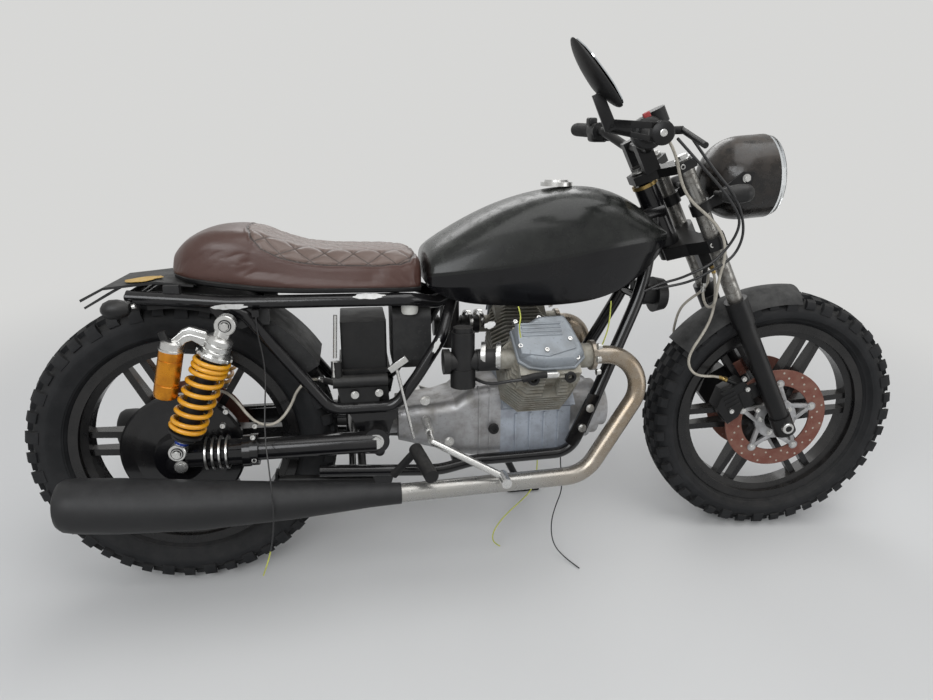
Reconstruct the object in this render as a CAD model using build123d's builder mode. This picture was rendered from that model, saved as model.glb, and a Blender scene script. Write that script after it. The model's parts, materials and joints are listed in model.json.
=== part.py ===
from build123d import *
from math import atan2, cos, degrees, hypot, pi, radians, sin, sqrt, tan
import os

# Cafe racer motorcycle: transverse V-twin, shaft drive, cast wheels, knobby tyres.
# It is modelled upright in its own frame: x forward, y left, z up, the origin on the ground
# under the rear axle. The steering pieces are then turned to their rest angle, and the whole
# machine is leaned over on its side stand.
# Sizes are in millimetres, angles in degrees.

os.makedirs("parts", exist_ok=True)

# Stance
wheelbase = 1434.0
rake = 27.3
fork_offset = 70.0
lean = 9.5
steer_rest = -5.9

# Wheels
rear_radius = 331.5
front_radius = 318.0
rim_radius = 244.5
bead_drop = 14.0
well_drop = 30.0
rim_wall = 6.0
rear_rim_half = 41.0
front_rim_half = 36.0
rear_tyre_half = 60.0
front_tyre_half = 57.0
lug_count = 26
lug_depth = 10.0
lug_length = 40.0
spoke_pairs = 6
spoke_gap = 42.0
spoke_width = 15.0
hub_radius = 47.0
front_hub_half = 54.0
rear_hub_right = 44.0
rear_hub_left = 58.0
axle_radius = 8.5
running_gap = 0.05
seat_gap = 0.3
disc_thickness = 5.0
front_disc_radius = 130.5
rear_disc_radius = 121.0
disc_band = 42.0
front_spoke_phase = 5.0
rear_spoke_phase = -2.0

# Fork and steering
leg_y = 92.0
stanchion_radius = 17.5
slider_radius = 26.5
slider_top = 362.0
stanchion_bottom = 300.0
stanchion_top = 716.0
lower_yoke_s = 500.0
upper_yoke_s = 694.0
yoke_thickness = 30.0
head_radius = 27.0
stem_radius = 14.0
bar_radius = 11.0
grip_radius = 16.5
bar_end_y = 330.0
grip_length = 118.0
lamp_radius = 95.0

# Frame and engine
tube_radius = 15.0
rail_radius = 14.0
loop_radius = 13.0
rail_y = 110.0
loop_y = 110.0
crank_height = 372.0
cylinder_x = 790.0
cylinder_stagger = 10.0
pivot_x = 416.0
pivot_z = 351.0
pipe_radius = 20.0
exhaust_y = 200.0
shock_y = 165.0
shock_top = (129.0, 634.0)
shock_bottom = (13.0, 372.0)

rear_axle = (0.0, 0.0, rear_radius)
front_axle = (wheelbase, 0.0, front_radius)
head_sin = sin(radians(rake))
head_cos = cos(radians(rake))
steer_base = (
    wheelbase - fork_offset * head_cos,
    0.0,
    front_radius - fork_offset * head_sin,
)


# Sketch planes
def side(y):
    """Upright plane along the machine at y: sketch x forward, sketch y up, facing right."""
    return Plane(origin=(0, y, 0), x_dir=(1, 0, 0), z_dir=(0, -1, 0))


def station(x):
    """Upright plane across the machine at x: sketch x left, sketch y up, facing forward."""
    return Plane(origin=(x, 0, 0), x_dir=(0, 1, 0), z_dir=(1, 0, 0))


def level(z):
    """Level plane at height z: sketch x forward, sketch y left."""
    return Plane(origin=(0, 0, z), x_dir=(1, 0, 0), z_dir=(0, 0, 1))


def wheel_section(axle, angle=90.0):
    """Half plane through an axle: sketch x left, sketch y outwards at this angle above forward."""
    turn = radians(angle)
    return Plane(origin=axle, x_dir=(0, 1, 0), z_dir=(sin(turn), 0, -cos(turn)))


def fork_plane(s):
    """Plane square to the steering axis, s along it: sketch x forward, sketch y left."""
    origin = (steer_base[0] - head_sin * s, 0, steer_base[2] + head_cos * s)
    return Plane(origin=origin, x_dir=(head_cos, 0, head_sin), z_dir=(-head_sin, 0, head_cos))


def fork_point(f, y, s):
    """Point f ahead of the steering axis, y left of it and s along it."""
    x = steer_base[0] + head_cos * f - head_sin * s
    z = steer_base[2] + head_sin * f + head_cos * s
    return (x, y, z)


def bore_plane(hand):
    """Plane on the crankshaft line, square to one cylinder: hand -1 is right, 1 is left."""
    x = cylinder_x + hand * cylinder_stagger
    return Plane(origin=(x, 0, crank_height), x_dir=(1, 0, 0), z_dir=(0, hand, 1))


def cord_tube(name, points, radius):
    """Round cord along straight runs, each corner an arc as large as its runs allow."""
    corners = [Vector(*point) for point in points]
    runs = [after - before for before, after in zip(corners, corners[1:])]
    bends = []
    for before, after in zip(runs, runs[1:]):
        half_turn = radians(before.get_angle(after)) / 2
        bends.append(0.45 * min(before.length, after.length) / tan(half_turn))
    with BuildPart() as cord:
        with BuildLine() as route:
            FilletPolyline(*points, radius=bends)
        with BuildSketch(Plane(origin=route.line @ 0, z_dir=route.line % 0)):
            Circle(radius)
        sweep()
    length = sum(edge.length for edge in route.line.edges())
    print(name, "length", round(length), "radii", [round(bend) for bend in bends])
    print(name, "volume over section", round(cord.part.volume / (pi * radius**2)))
    return cord.part


def both_sides(points):
    """The same points on the right and on the left."""
    return [[(x, hand * y, z) for x, y, z in points] for hand in (-1, 1)]


# Wheels, tyres and discs
def cast_wheel(axle, half_width, hub_right, hub_left, spoke_phase):
    seat = rim_radius - bead_drop
    well = rim_radius - well_drop
    half_section = [
        (half_width, seat - rim_wall),
        (half_width, rim_radius),
        (half_width - 5, rim_radius),
        (half_width - 6, seat),
        (half_width - 18, seat),
        (half_width - 22, well),
    ]
    inner_section = [
        (half_width - 17, well - rim_wall),
        (half_width - 13, seat - rim_wall),
    ]
    section = half_section + [(-y, r) for y, r in reversed(half_section)]
    section += [(-y, r) for y, r in reversed(inner_section)] + inner_section
    spoke_start = 34.0
    spoke_end = well - 3.0
    with BuildPart() as wheel:
        with BuildSketch(wheel_section(axle)):
            with BuildLine():
                Polyline(*section, close=True)
            make_face()
        revolve(axis=Axis(axle, (0, 1, 0)))
        with BuildSketch(side(hub_left)):
            with Locations((axle[0], axle[2])):
                Circle(hub_radius)
        extrude(amount=hub_left + hub_right)
        for pair in range(spoke_pairs):
            turn = radians(360.0 * pair / spoke_pairs + spoke_phase)
            outwards = (cos(turn), 0, sin(turn))
            round_way = (-sin(turn), 0, cos(turn))
            for way in (-0.5, 0.5):
                middle = tuple(axle[i] + round_way[i] * way * spoke_gap for i in range(3))
                with BuildSketch(Plane(origin=middle, x_dir=outwards, z_dir=round_way)):
                    with BuildLine():
                        Polyline(
                            (spoke_start, -24),
                            (spoke_end, -13),
                            (spoke_end, 13),
                            (spoke_start, 24),
                            close=True,
                        )
                    make_face()
                extrude(amount=spoke_width / 2, both=True)
        with BuildSketch(side(hub_left)):
            with Locations((axle[0], axle[2])):
                Circle(axle_radius + running_gap)
        extrude(amount=hub_left + hub_right, mode=Mode.SUBTRACT)
    return wheel.part


def knob_rows(half_width, outer):
    """Lug outlines as (left, outwards) points: a crown row and a shoulder row."""
    crown = [
        (2, outer - 20),
        (2, outer),
        (half_width * 0.45, outer - 2.5),
        (half_width * 0.45, outer - 22),
    ]
    shoulder = [
        (half_width * 0.53, outer - 22),
        (half_width * 0.53, outer - 4.5),
        (half_width - 8, outer - 15),
        (half_width, outer - 32),
        (half_width - 14, outer - 38),
    ]
    return [(crown, 0.0), (shoulder, 0.5)]


def knobby_tyre(axle, rim_half, half_width, outer):
    seat = rim_radius - bead_drop + seat_gap
    bead = rim_half - 6.0 - seat_gap
    outside = [
        (bead, seat),
        (bead, rim_radius + 1.5),
        (half_width - 1.5, outer - 50),
        (half_width - 11, outer - 26),
        (half_width * 0.5, outer - lug_depth - 2),
    ]
    inside = [
        (half_width * 0.4, outer - lug_depth - 11),
        (half_width - 12, outer - 48),
        (bead - 7, rim_radius + 6),
        (bead - 8, seat),
    ]
    section = outside + [(-y, r) for y, r in reversed(outside)]
    section += [(-y, r) for y, r in reversed(inside)] + inside
    with BuildPart() as tyre:
        with BuildSketch(wheel_section(axle)):
            with BuildLine():
                Polyline(*section, close=True)
            make_face()
        revolve(axis=Axis(axle, (0, 1, 0)))
        for outline, phase in knob_rows(half_width, outer):
            for hand in (-1, 1):
                for step in range(lug_count):
                    offset = phase + (0.25 if hand > 0 else 0.0)
                    angle = 360.0 * (step + offset) / lug_count
                    with BuildSketch(wheel_section(axle, angle)):
                        with BuildLine():
                            Polyline(*[(hand * y, r) for y, r in outline], close=True)
                        make_face()
        extrude(amount=lug_length / 2, both=True)
    return tyre.part


def brake_disc(axle, radius, inner_face, hand, arms):
    """Disc with its carrier on one side of a hub: hand -1 is the right side."""
    with BuildPart() as disc:
        with BuildSketch(side(hand * inner_face)):
            with Locations((axle[0], axle[2])):
                Circle(radius)
                Circle(radius - disc_band, mode=Mode.SUBTRACT)
                with PolarLocations(0, arms):
                    with Locations(((radius - disc_band + 50) / 2, 0)):
                        Rectangle(radius - disc_band - 38, 17)
                Circle(54)
                Circle(30, mode=Mode.SUBTRACT)
        extrude(amount=-hand * disc_thickness)
    return disc.part


front_wheel = cast_wheel(
    front_axle, front_rim_half, front_hub_half, front_hub_half, front_spoke_phase
)
rear_wheel = cast_wheel(rear_axle, rear_rim_half, rear_hub_right, rear_hub_left, rear_spoke_phase)
front_tyre = knobby_tyre(front_axle, front_rim_half, front_tyre_half, front_radius)
rear_tyre = knobby_tyre(rear_axle, rear_rim_half, rear_tyre_half, rear_radius)
front_discs = Part() + [
    brake_disc(front_axle, front_disc_radius, front_hub_half, hand, 5) for hand in (-1, 1)
]
rear_disc = brake_disc(rear_axle, rear_disc_radius, rear_hub_left, 1, 5)

# Frame: backbone, down tubes, headstock
# Each row is one tube of the right side: its points, its bend radii.
backbone = [(604, 42, 664), (1000, 30, 812), (1100, 17, 836)]
down_tube = [(1080, 14, 838), (1055, 45, 668), (893, 105, 335)]
head_low = 552.0
head_high = 686.0
with BuildPart() as main_frame:
    for points, bends in ((backbone, [400]), (down_tube, [500])):
        for path_points in both_sides(points):
            with BuildLine() as path:
                FilletPolyline(*path_points, radius=bends)
            with BuildSketch(Plane(origin=path.line @ 0, z_dir=path.line % 0)):
                Circle(tube_radius)
            sweep()
    with BuildSketch(fork_plane(head_low)):
        Circle(head_radius)
    extrude(amount=head_high - head_low)
    # Cross bars: x, half length, z. The last one carries the horn
    for x, y, z in ((960, 32, 797), (700, 39, 699), (1040, 51, 640)):
        with BuildSketch(side(y)):
            with Locations((x, z)):
                Circle(9)
        extrude(amount=2 * y)
    # Rubber seats that carry the tank
    for x, z, height in ((960, 797, 42), (700, 699, 46)):
        with BuildSketch(level(z)):
            with Locations((x, 0)):
                Rectangle(30, 40)
        extrude(amount=height)
    with BuildSketch(side(6)):
        with BuildLine():
            Polyline((1060, 830), (1104, 826), (1072, 700), (1058, 700), close=True)
        make_face()
    extrude(amount=12)
    with BuildSketch(fork_plane(head_low - 1)):
        Circle(stem_radius + running_gap)
    extrude(amount=head_high - head_low + 2, mode=Mode.SUBTRACT)

# Seat frame: rails, triangulated loops, pivot plates and shock studs
top_rail = [(-66, 100, 682), (128, rail_y, 667), (498, rail_y, 663), (560, 66, 646), (604, 42, 664)]
loop_tube = [
    (112, loop_y, 668),
    (160, loop_y, 640),
    (322, loop_y, 424),
    (462, loop_y, 424),
    (512, loop_y, 492),
    (566, loop_y - 4, 575),
    (598, 50, 655),
]
wire_clip_z = 640.0
with BuildPart() as seat_frame:
    for points, bends, radius in (
        (top_rail, [300, 60, 30], rail_radius),
        (loop_tube, [40, 48, 48, 200, 60], loop_radius),
    ):
        for path_points in both_sides(points):
            with BuildLine() as path:
                FilletPolyline(*path_points, radius=bends)
            with BuildSketch(Plane(origin=path.line @ 0, z_dir=path.line % 0)):
                Circle(radius)
            sweep()
    # Rear hoop and cross tubes: x, z, half length, radius
    for x, z, half, radius in ((-60, 681, 101, 12), (345, 424, 100, 10), (440, 424, 100, 10), (470, 664, 100, 10)):
        with BuildSketch(side(half)):
            with Locations((x, z)):
                Circle(radius)
        extrude(amount=2 * half)
    for hand in (-1, 1):
        # Gusset at the shock and the stud that carries the shock
        with BuildSketch(side(hand * (rail_y - 4))):
            with BuildLine():
                Polyline((84, 668), (196, 664), (176, 620), (150, 612), (112, 622), close=True)
            make_face()
        extrude(amount=-hand * 8)
        with BuildSketch(side(hand * (rail_y - 4))):
            with Locations(shock_top):
                Circle(9)
        extrude(amount=-hand * (shock_y + 16 - rail_y + 4))
        # Clip on the right gusset, where the loose wire comes out
        if hand < 0:
            with BuildSketch(level(wire_clip_z)):
                with Locations((182, -121)):
                    Rectangle(14, 24)
            extrude(amount=14)
        # Pivot plate, thick where it is welded to the loop
        with BuildSketch(side(hand * 84)):
            with BuildLine():
                Polyline((352, 424), (470, 424), (440, 330), (394, 330), close=True)
            make_face()
        extrude(amount=-hand * 10)
        with BuildSketch(side(hand * 84)):
            with BuildLine():
                Polyline((352, 424), (470, 424), (462, 390), (370, 390), close=True)
            make_face()
        extrude(amount=-hand * 22)

# Lower cradle rails, bolted to the down tubes by long brackets
cradle_path = [
    (893, 105, 335),
    (868, 109.5, 284),
    (640, 112, 281),
    (556, 117, 265),
    (290, 118, 284),
]
stand_pin = (430.0, 236.0)
with BuildPart() as cradle_rails:
    for path_points in both_sides(cradle_path):
        with BuildLine() as path:
            FilletPolyline(*path_points, radius=[62, 200, 200])
        with BuildSketch(Plane(origin=path.line @ 0, z_dir=path.line % 0)):
            Circle(loop_radius)
        sweep()
    for hand in (-1, 1):
        with BuildSketch(side(hand * 118.5)):
            with BuildLine():
                Polyline((905, 432), (930, 424), (890, 322), (868, 304), (852, 318), close=True)
            make_face()
        extrude(amount=-hand * 6)
        with BuildSketch(side(hand * 97)):
            with BuildLine():
                Polyline((400, 276), (460, 276), (444, 226), (416, 226), close=True)
            make_face()
        extrude(amount=-hand * 12)
        with BuildSketch(side(hand * 70)):
            with Locations(stand_pin):
                Circle(6)
        extrude(amount=-hand * 30)
    for x, z in ((600, 266), (362, 279)):
        with BuildSketch(side(112)):
            with Locations((x, z)):
                Circle(8)
        extrude(amount=224)

# Fuel tank: stations from the seat to the headstock
# x, half top, top z, shoulder y, z, crease y, upper z, lower z, bottom y, z
tank_stations = [
    (532, 40, 757, 88, 749, 122, 713, 692, 98, 684),
    (600, 46, 800, 98, 792, 138, 721, 692, 114, 648),
    (700, 50, 854, 103, 842, 147, 732, 698, 118, 640),
    (820, 50, 888, 104, 876, 151, 748, 714, 119, 636),
    (940, 48, 894, 101, 876, 148, 774, 744, 116, 648),
    (1030, 44, 852, 86, 820, 124, 780, 752, 100, 700),
    (1098, 40, 792, 62, 786, 70, 778, 770, 56, 762),
]
tunnel_half = 64.0
with BuildPart() as fuel_tank:
    for x, top_y, top_z, sh_y, sh_z, cr_y, up_z, low_z, bot_y, bot_z in tank_stations:
        half = [(top_y, top_z), (sh_y, sh_z), (cr_y, up_z), (cr_y, low_z), (bot_y, bot_z)]
        with BuildSketch(station(x)):
            with BuildLine():
                Polyline(*half, *[(-y, z) for y, z in reversed(half)], close=True)
            make_face()
    loft(ruled=True)
    # Tunnel for the backbone, rising towards the headstock
    with BuildSketch(side(tunnel_half)):
        with BuildLine():
            Polyline((500, 600), (500, 700), (640, 712), (1010, 845), (1120, 875), (1120, 600), close=True)
        make_face()
    extrude(amount=2 * tunnel_half, mode=Mode.SUBTRACT)
    # Room for the rails where they turn in
    with BuildSketch(side(86)):
        with BuildLine():
            Polyline((500, 600), (500, 688), (618, 692), (640, 600), close=True)
        make_face()
    extrude(amount=172, mode=Mode.SUBTRACT)
    # Notch round the headstock
    with BuildSketch(fork_plane(head_low - 60)):
        Circle(head_radius + 16)
    extrude(amount=300, mode=Mode.SUBTRACT)

with BuildPart() as fuel_cap:
    with BuildSketch(level(891.3)):
        with Locations((845, 0)):
            Circle(36)
    extrude(amount=9)
    with BuildSketch(level(900.3)):
        with Locations((845, 0)):
            Circle(28)
    extrude(amount=5, taper=20)

# Seat: stations from the hump to the tank
# x, half width, bottom z, top z
seat_stations = [
    (12, 62, 718, 746),
    (44, 98, 713, 792),
    (100, 116, 706, 815),
    (170, 121, 696, 811),
    (230, 124, 691, 790),
    (300, 126, 689, 769),
    (400, 126, 686, 763),
    (480, 118, 683, 760),
    (526, 100, 682, 752),
]
with BuildPart() as seat:
    for x, half, low, high in seat_stations:
        edge = min(26.0, (high - low) * 0.45)
        outline = [(half - 6, low), (half, low + 8), (half, high - edge), (half - edge, high - 4)]
        with BuildSketch(station(x)):
            with BuildLine():
                Polyline(*outline, *[(-y, z) for y, z in reversed(outline)], close=True)
            make_face()
    loft(ruled=True)
    # Rubber pads on the rails
    for x in (150, 300, 440):
        for hand in (-1, 1):
            with BuildSketch(level(668)):
                with Locations((x, hand * 108)):
                    Rectangle(34, 18)
            extrude(amount=30)

# Rear mudguard: inner arc round the tyre, and the two sheets of the tail
guard_clearance = 20.5
guard_radius = rear_radius + guard_clearance
guard_half = 88.0
guard_arc = 64.0
sheet = 3.0
with BuildPart() as rear_mudguard:
    with BuildSketch(wheel_section(rear_axle, 96.0)):
        with Locations((0, guard_radius + sheet / 2)):
            Rectangle(2 * guard_half, sheet)
        for hand in (-1, 1):
            with Locations((hand * (guard_half - sheet / 2), guard_radius - 14)):
                Rectangle(sheet, 32)
    revolve(axis=Axis(rear_axle, (0, 1, 0)), revolution_arc=guard_arc)
    # Tabs that hang the inner guard from the rails
    for x, z in ((20, 682), (190, 640)):
        for hand in (-1, 1):
            with BuildSketch(side(hand * 84)):
                with Locations((x, z)):
                    Rectangle(30, 44)
            extrude(amount=-hand * 24)
    for points, half in (
        ([(-157, 678), (-112, 701), (-10, 711), (60, 702), (60, 698), (-10, 706), (-112, 696), (-155, 673)], 94),
        ([(-150, 658), (-104, 684), (-76, 699), (-78, 703), (-106, 689), (-152, 662)], 90),
    ):
        with BuildSketch(side(half)):
            with BuildLine():
                Polyline(*points, close=True)
            make_face()
        extrude(amount=2 * half)

with BuildPart() as rear_indicators:
    for hand in (-1, 1):
        with BuildSketch(side(hand * 98)):
            with Locations((-58, 672)):
                Circle(6)
        extrude(amount=-hand * 46)
        with BuildSketch(Plane(origin=(-96, hand * 160, 668), x_dir=(0, 1, 0), z_dir=(1, 0, 0))):
            Circle(10)
        with BuildSketch(Plane(origin=(-86, hand * 160, 669), x_dir=(0, 1, 0), z_dir=(1, 0, 0))):
            Circle(19)
        with BuildSketch(Plane(origin=(-46, hand * 160, 672), x_dir=(0, 1, 0), z_dir=(1, 0, 0))):
            Circle(15)
        loft(ruled=True)

# Engine: crankcase with the two cylinder flanges, sump, front cover, gearbox
deck = 112.0
flange_half = 62.0
case_rear = 704.0
case_front = 872.0
deck_y = deck / sqrt(2)
flange_y = flange_half / sqrt(2)
with BuildPart() as crankcase:
    half = [
        (78, 262),
        (91, 284),
        (91, 392),
        (deck_y + flange_y, crank_height + deck_y - flange_y),
        (deck_y - flange_y, crank_height + deck_y + flange_y),
    ]
    with BuildSketch(station(case_rear)):
        with BuildLine():
            Polyline(*half, *[(-y, z) for y, z in reversed(half)], close=True)
        make_face()
    extrude(amount=case_front - case_rear)
    # Ribs down the side of the case
    for x in (738, 772, 806, 840):
        for hand in (-1, 1):
            with BuildSketch(station(x)):
                with Locations((hand * 92, 336)):
                    Rectangle(6, 92)
            extrude(amount=5)

with BuildPart() as timing_cover:
    # x, radius
    for x, radius, length in ((case_front, 76, 62), (case_front + 62, 68, 22), (case_front + 84, 50, 26)):
        with BuildSketch(station(x)):
            with Locations((0, 356)):
                Circle(radius)
        extrude(amount=length)

# Gearbox and clutch housing: x, half width, bottom z, top z, corner radius
gearbox_stations = [
    (470, 66, 316, 398, 22),
    (560, 74, 292, 406, 24),
    (600, 84, 282, 414, 26),
    (640, 92, 276, 444, 30),
    (case_rear, 92, 272, 452, 30),
]
with BuildPart() as gearbox:
    for x, half, low, high, corner in gearbox_stations:
        with BuildSketch(station(x)):
            with Locations((0, (low + high) / 2)):
                RectangleRounded(2 * half, high - low, corner)
    loft(ruled=True)
    with BuildSketch(station(440)):
        with Locations((0, pivot_z)):
            Circle(34)
    extrude(amount=34)
    # Bell ribs and the starter hump on the left
    for x in (652, 676):
        with BuildSketch(station(x)):
            with Locations((0, 362)):
                RectangleRounded(191, 172, 30)
        extrude(amount=5)

# Cylinders: finned barrels. Fin size along the crank, across it, corner cut
fin_long = 166.0
fin_wide = 152.0
fin_cut = 34.0
fin_thickness = 3.5
barrel_top = 196.0
head_top = 266.0
with BuildPart() as cylinders:
    for hand in (-1, 1):
        with BuildSketch(bore_plane(hand).offset(deck)):
            Circle(58)
        extrude(amount=barrel_top - deck)
        for fin in range(7):
            with BuildSketch(bore_plane(hand).offset(deck + 9 + 11 * fin)):
                with BuildLine():
                    a, b, c = fin_long / 2, fin_wide / 2, fin_cut
                    Polyline(
                        (a, c - b), (a, b - c), (a - c, b), (c - a, b),
                        (-a, b - c), (-a, c - b), (c - a, -b), (a - c, -b), close=True,
                    )
                make_face()
            extrude(amount=fin_thickness)

with BuildPart() as cylinder_heads:
    for hand in (-1, 1):
        with BuildSketch(bore_plane(hand).offset(barrel_top)):
            Rectangle(132, 116)
        extrude(amount=head_top - barrel_top)
        for fin in range(6):
            shrink = 2.6 * fin
            with BuildSketch(bore_plane(hand).offset(barrel_top + 1 + 11.5 * fin)):
                with BuildLine():
                    a, b, c = fin_long / 2 - shrink, fin_wide / 2 - shrink, fin_cut
                    Polyline(
                        (a, c - b), (a, b - c), (a - c, b), (c - a, b),
                        (-a, b - c), (-a, c - b), (c - a, -b), (a - c, -b), close=True,
                    )
                make_face()
            extrude(amount=fin_thickness)
        # Plug recess in the lower face, exhaust spigot ahead and inlet spigot behind
        with BuildSketch(bore_plane(hand).offset(barrel_top)):
            with Locations((8, hand * 66)):
                Rectangle(34, 34)
        extrude(amount=head_top - barrel_top - 12, mode=Mode.SUBTRACT)
    for hand in (-1, 1):
        x_middle = cylinder_x + hand * cylinder_stagger
        port_y = hand * 233 / sqrt(2)
        port_z = crank_height + 233 / sqrt(2)
        with BuildSketch(station(x_middle + 60)):
            with Locations((port_y, port_z)):
                Circle(27)
        extrude(amount=44)
        with BuildSketch(station(x_middle - 102)):
            with Locations((port_y, port_z)):
                Circle(22)
        extrude(amount=42)

# Rocker covers: outline about the bore line, raised panel on top
cover_outline = [
    (-78, -34), (-28, -54), (42, -54), (68, -32), (68, -12),
    (52, 48), (38, 72), (-24, 72), (-50, 56), (-84, 44),
]
panel_outline = [(-60, -14), (-40, 34), (38, 34), (50, -24), (-8, -50), (-66, -42)]
cover_base = 22.0
cover_height = 30.0
panel_height = 14.0


def cover_points(outline, hand):
    """A cover's outline on its own side, always counter-clockwise."""
    return [(x, -hand * s) for x, s in outline][::-hand]


with BuildPart() as rocker_covers:
    for hand in (-1, 1):
        base = bore_plane(hand).offset(head_top + seat_gap)
        with BuildSketch(base):
            with BuildLine():
                Polyline(*cover_points(cover_outline, hand), close=True)
            make_face()
        extrude(amount=cover_base)
        with BuildSketch(base.offset(cover_base)):
            with BuildLine():
                Polyline(*cover_points(cover_outline, hand), close=True)
            make_face()
        extrude(amount=cover_height - cover_base, taper=24)
        with BuildSketch(base.offset(cover_height)):
            with BuildLine():
                Polyline(*cover_points(panel_outline, hand), close=True)
            make_face()
        extrude(amount=panel_height, taper=12)
        for rib in range(4):
            with BuildSketch(base.offset(cover_height - 1)):
                with Locations((0, -hand * (30 - 9 * rib))):
                    Rectangle(76, 4)
            extrude(amount=panel_height + 4)

# Carburettors with their rubber inlets
with BuildPart() as carburettors:
    for hand in (-1, 1):
        x_inlet = cylinder_x + hand * cylinder_stagger - 102
        port_y = hand * 233 / sqrt(2)
        port_z = crank_height + 233 / sqrt(2)
        # x from, length, radius
        for x, length, radius in ((x_inlet - 46, 46, 24), (x_inlet - 104, 58, 21), (x_inlet - 118, 14, 27)):
            with BuildSketch(station(x)):
                with Locations((port_y, port_z)):
                    Circle(radius)
            extrude(amount=length)
        # Slide body and cap, then the float bowl
        for z, height, radius in ((port_z - 20, 84, 25), (port_z + 64, 10, 21), (port_z - 56, 40, 27)):
            with BuildSketch(level(z)):
                with Locations((x_inlet - 75, port_y)):
                    Circle(radius)
            extrude(amount=height)

# Airbox between the loops, with a mouth for each carburettor
airbox_rear = 462.0
airbox_front = 546.0
with BuildPart() as airbox:
    with BuildSketch(station(airbox_rear)):
        with Locations((0, 566)):
            RectangleRounded(160, 140, 24)
    extrude(amount=airbox_front - airbox_rear)
    # Hanger under the cross tube of the rails
    with BuildSketch(station(airbox_rear + 2)):
        with Locations((0, 646)):
            Rectangle(60, 26)
    extrude(amount=10)

battery_rear = 348.0
with BuildPart() as battery:
    with BuildSketch(level(503)):
        with Locations((battery_rear + 50, 0)):
            Rectangle(100, 150)
    extrude(amount=106)
    fillet(battery.edges().filter_by(Axis.Z), radius=6)
    # Tray that hangs from the cross tube of the loops
    with BuildSketch(level(497)):
        with Locations((battery_rear + 50, 0)):
            Rectangle(112, 178)
    extrude(amount=6)
    for hand in (-1, 1):
        with BuildSketch(side(hand * 84)):
            with BuildLine():
                Polyline(
                    (352, 503), (444, 503), (450, 426), (430, 426),
                    (420, 480), (376, 480), (366, 426), (336, 426), close=True,
                )
            make_face()
        extrude(amount=-hand * 5)

# Rear brake master cylinder on the right loop
hose_start = (312.0, -90.0, 484.0)
with BuildPart() as rear_master:
    with BuildSketch(station(328)):
        with Locations((-106, 484)):
            Circle(14)
    extrude(amount=118)
    # Spigot turned inwards, where the brake hose leaves
    with BuildSketch(Plane(origin=(332, -110, 484), x_dir=(0, 0, 1), z_dir=(-1, 1, 0))):
        Circle(7)
    extrude(amount=hypot(332 - hose_start[0], -110 - hose_start[1]))
    with BuildSketch(level(492)):
        with Locations((340, -106)):
            Circle(9)
    extrude(amount=38)
    with BuildSketch(side(-104)):
        with BuildLine():
            Polyline((336, 476), (436, 476), (424, 434), (344, 434), close=True)
        make_face()
    extrude(amount=6)

# Exhaust: header pipes and cigar silencers
port_x = cylinder_x + 104.0
header_front = port_x + 156.0
with BuildPart() as headers:
    for hand in (-1, 1):
        shift = (1 + hand) * cylinder_stagger
        points = [
            (port_x - cylinder_stagger + shift + seat_gap, hand * 164.8, 536.8),
            (port_x + 17, hand * 164.8, 536.8),
            (header_front, hand * 178, 534),
            (873, hand * exhaust_y, 268),
            (455, hand * exhaust_y, 257),
        ]
        with BuildLine() as path:
            FilletPolyline(*points, radius=[50, 70, 84])
        with BuildSketch(Plane(origin=path.line @ 0, z_dir=path.line % 0)):
            Circle(pipe_radius)
        sweep()
        # Clamp ring at the port
        with BuildSketch(station(port_x - cylinder_stagger + shift + seat_gap)):
            with Locations((hand * 164.8, 536.8)):
                Circle(33)
        extrude(amount=9)

# x, z, radius from the header to the tip
silencer_stations = [
    (463, 257.0, 22.5),
    (396, 258.0, 26.0),
    (250, 259.0, 38.0),
    (46, 266.0, 51.5),
    (-180, 284.0, 54.5),
    (-212, 287.0, 44.0),
]
with BuildPart() as silencers:
    for hand in (-1, 1):
        for x, z, radius in silencer_stations:
            with BuildSketch(station(x)):
                with Locations((hand * exhaust_y, z)):
                    Circle(radius)
        loft(ruled=True)
        with BuildSketch(station(-212)):
            with Locations((hand * exhaust_y, 287)):
                Circle(28)
        extrude(amount=60, mode=Mode.SUBTRACT)
        # Flat hanger from the rail to the silencer
        with BuildSketch(side(hand * 131.5)):
            with BuildLine():
                Polyline((302, 300), (302, 268), (196, 262), (196, 300), close=True)
            make_face()
        extrude(amount=-hand * 5)
        with BuildSketch(side(hand * 134)):
            with Locations((212, 281)):
                Circle(9)
        extrude(amount=-hand * 46)

# Swingarm: shaft tunnel on the right, plain arm on the left
tunnel_y = 121.0
with BuildPart() as swingarm:
    # x, z, radius of the right tunnel
    for x_rear, x_front, radius in ((150, pivot_x, 24), (150, 166, 34)):
        with BuildSketch(station(x_rear)):
            with Locations((-tunnel_y, 347)):
                Circle(radius)
        extrude(amount=x_front - x_rear)
    with BuildSketch(station(26)):
        with Locations((112, 342)):
            RectangleRounded(26, 46, 8)
    extrude(amount=pivot_x - 26)
    for hand in (-1, 1):
        with BuildSketch(side(hand * 95)):
            with Locations((pivot_x, pivot_z)):
                Circle(29)
        extrude(amount=-hand * 38)
    with BuildSketch(side(112)):
        with Locations((366, 349)):
            Circle(15)
    extrude(amount=224)
    # Left axle lug and the stud for the left shock
    with BuildSketch(side(99)):
        with Locations((rear_axle[0], rear_axle[2])):
            Circle(32)
    extrude(amount=-26)
    with BuildSketch(side(99)):
        with BuildLine():
            Polyline((-12, 344), (40, 344), (34, 392), (-4, 392), close=True)
        make_face()
    extrude(amount=-26)
    with BuildSketch(side(112)):
        with Locations(shock_bottom):
            Circle(9)
    extrude(amount=-(shock_y + 16 - 112))

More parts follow.
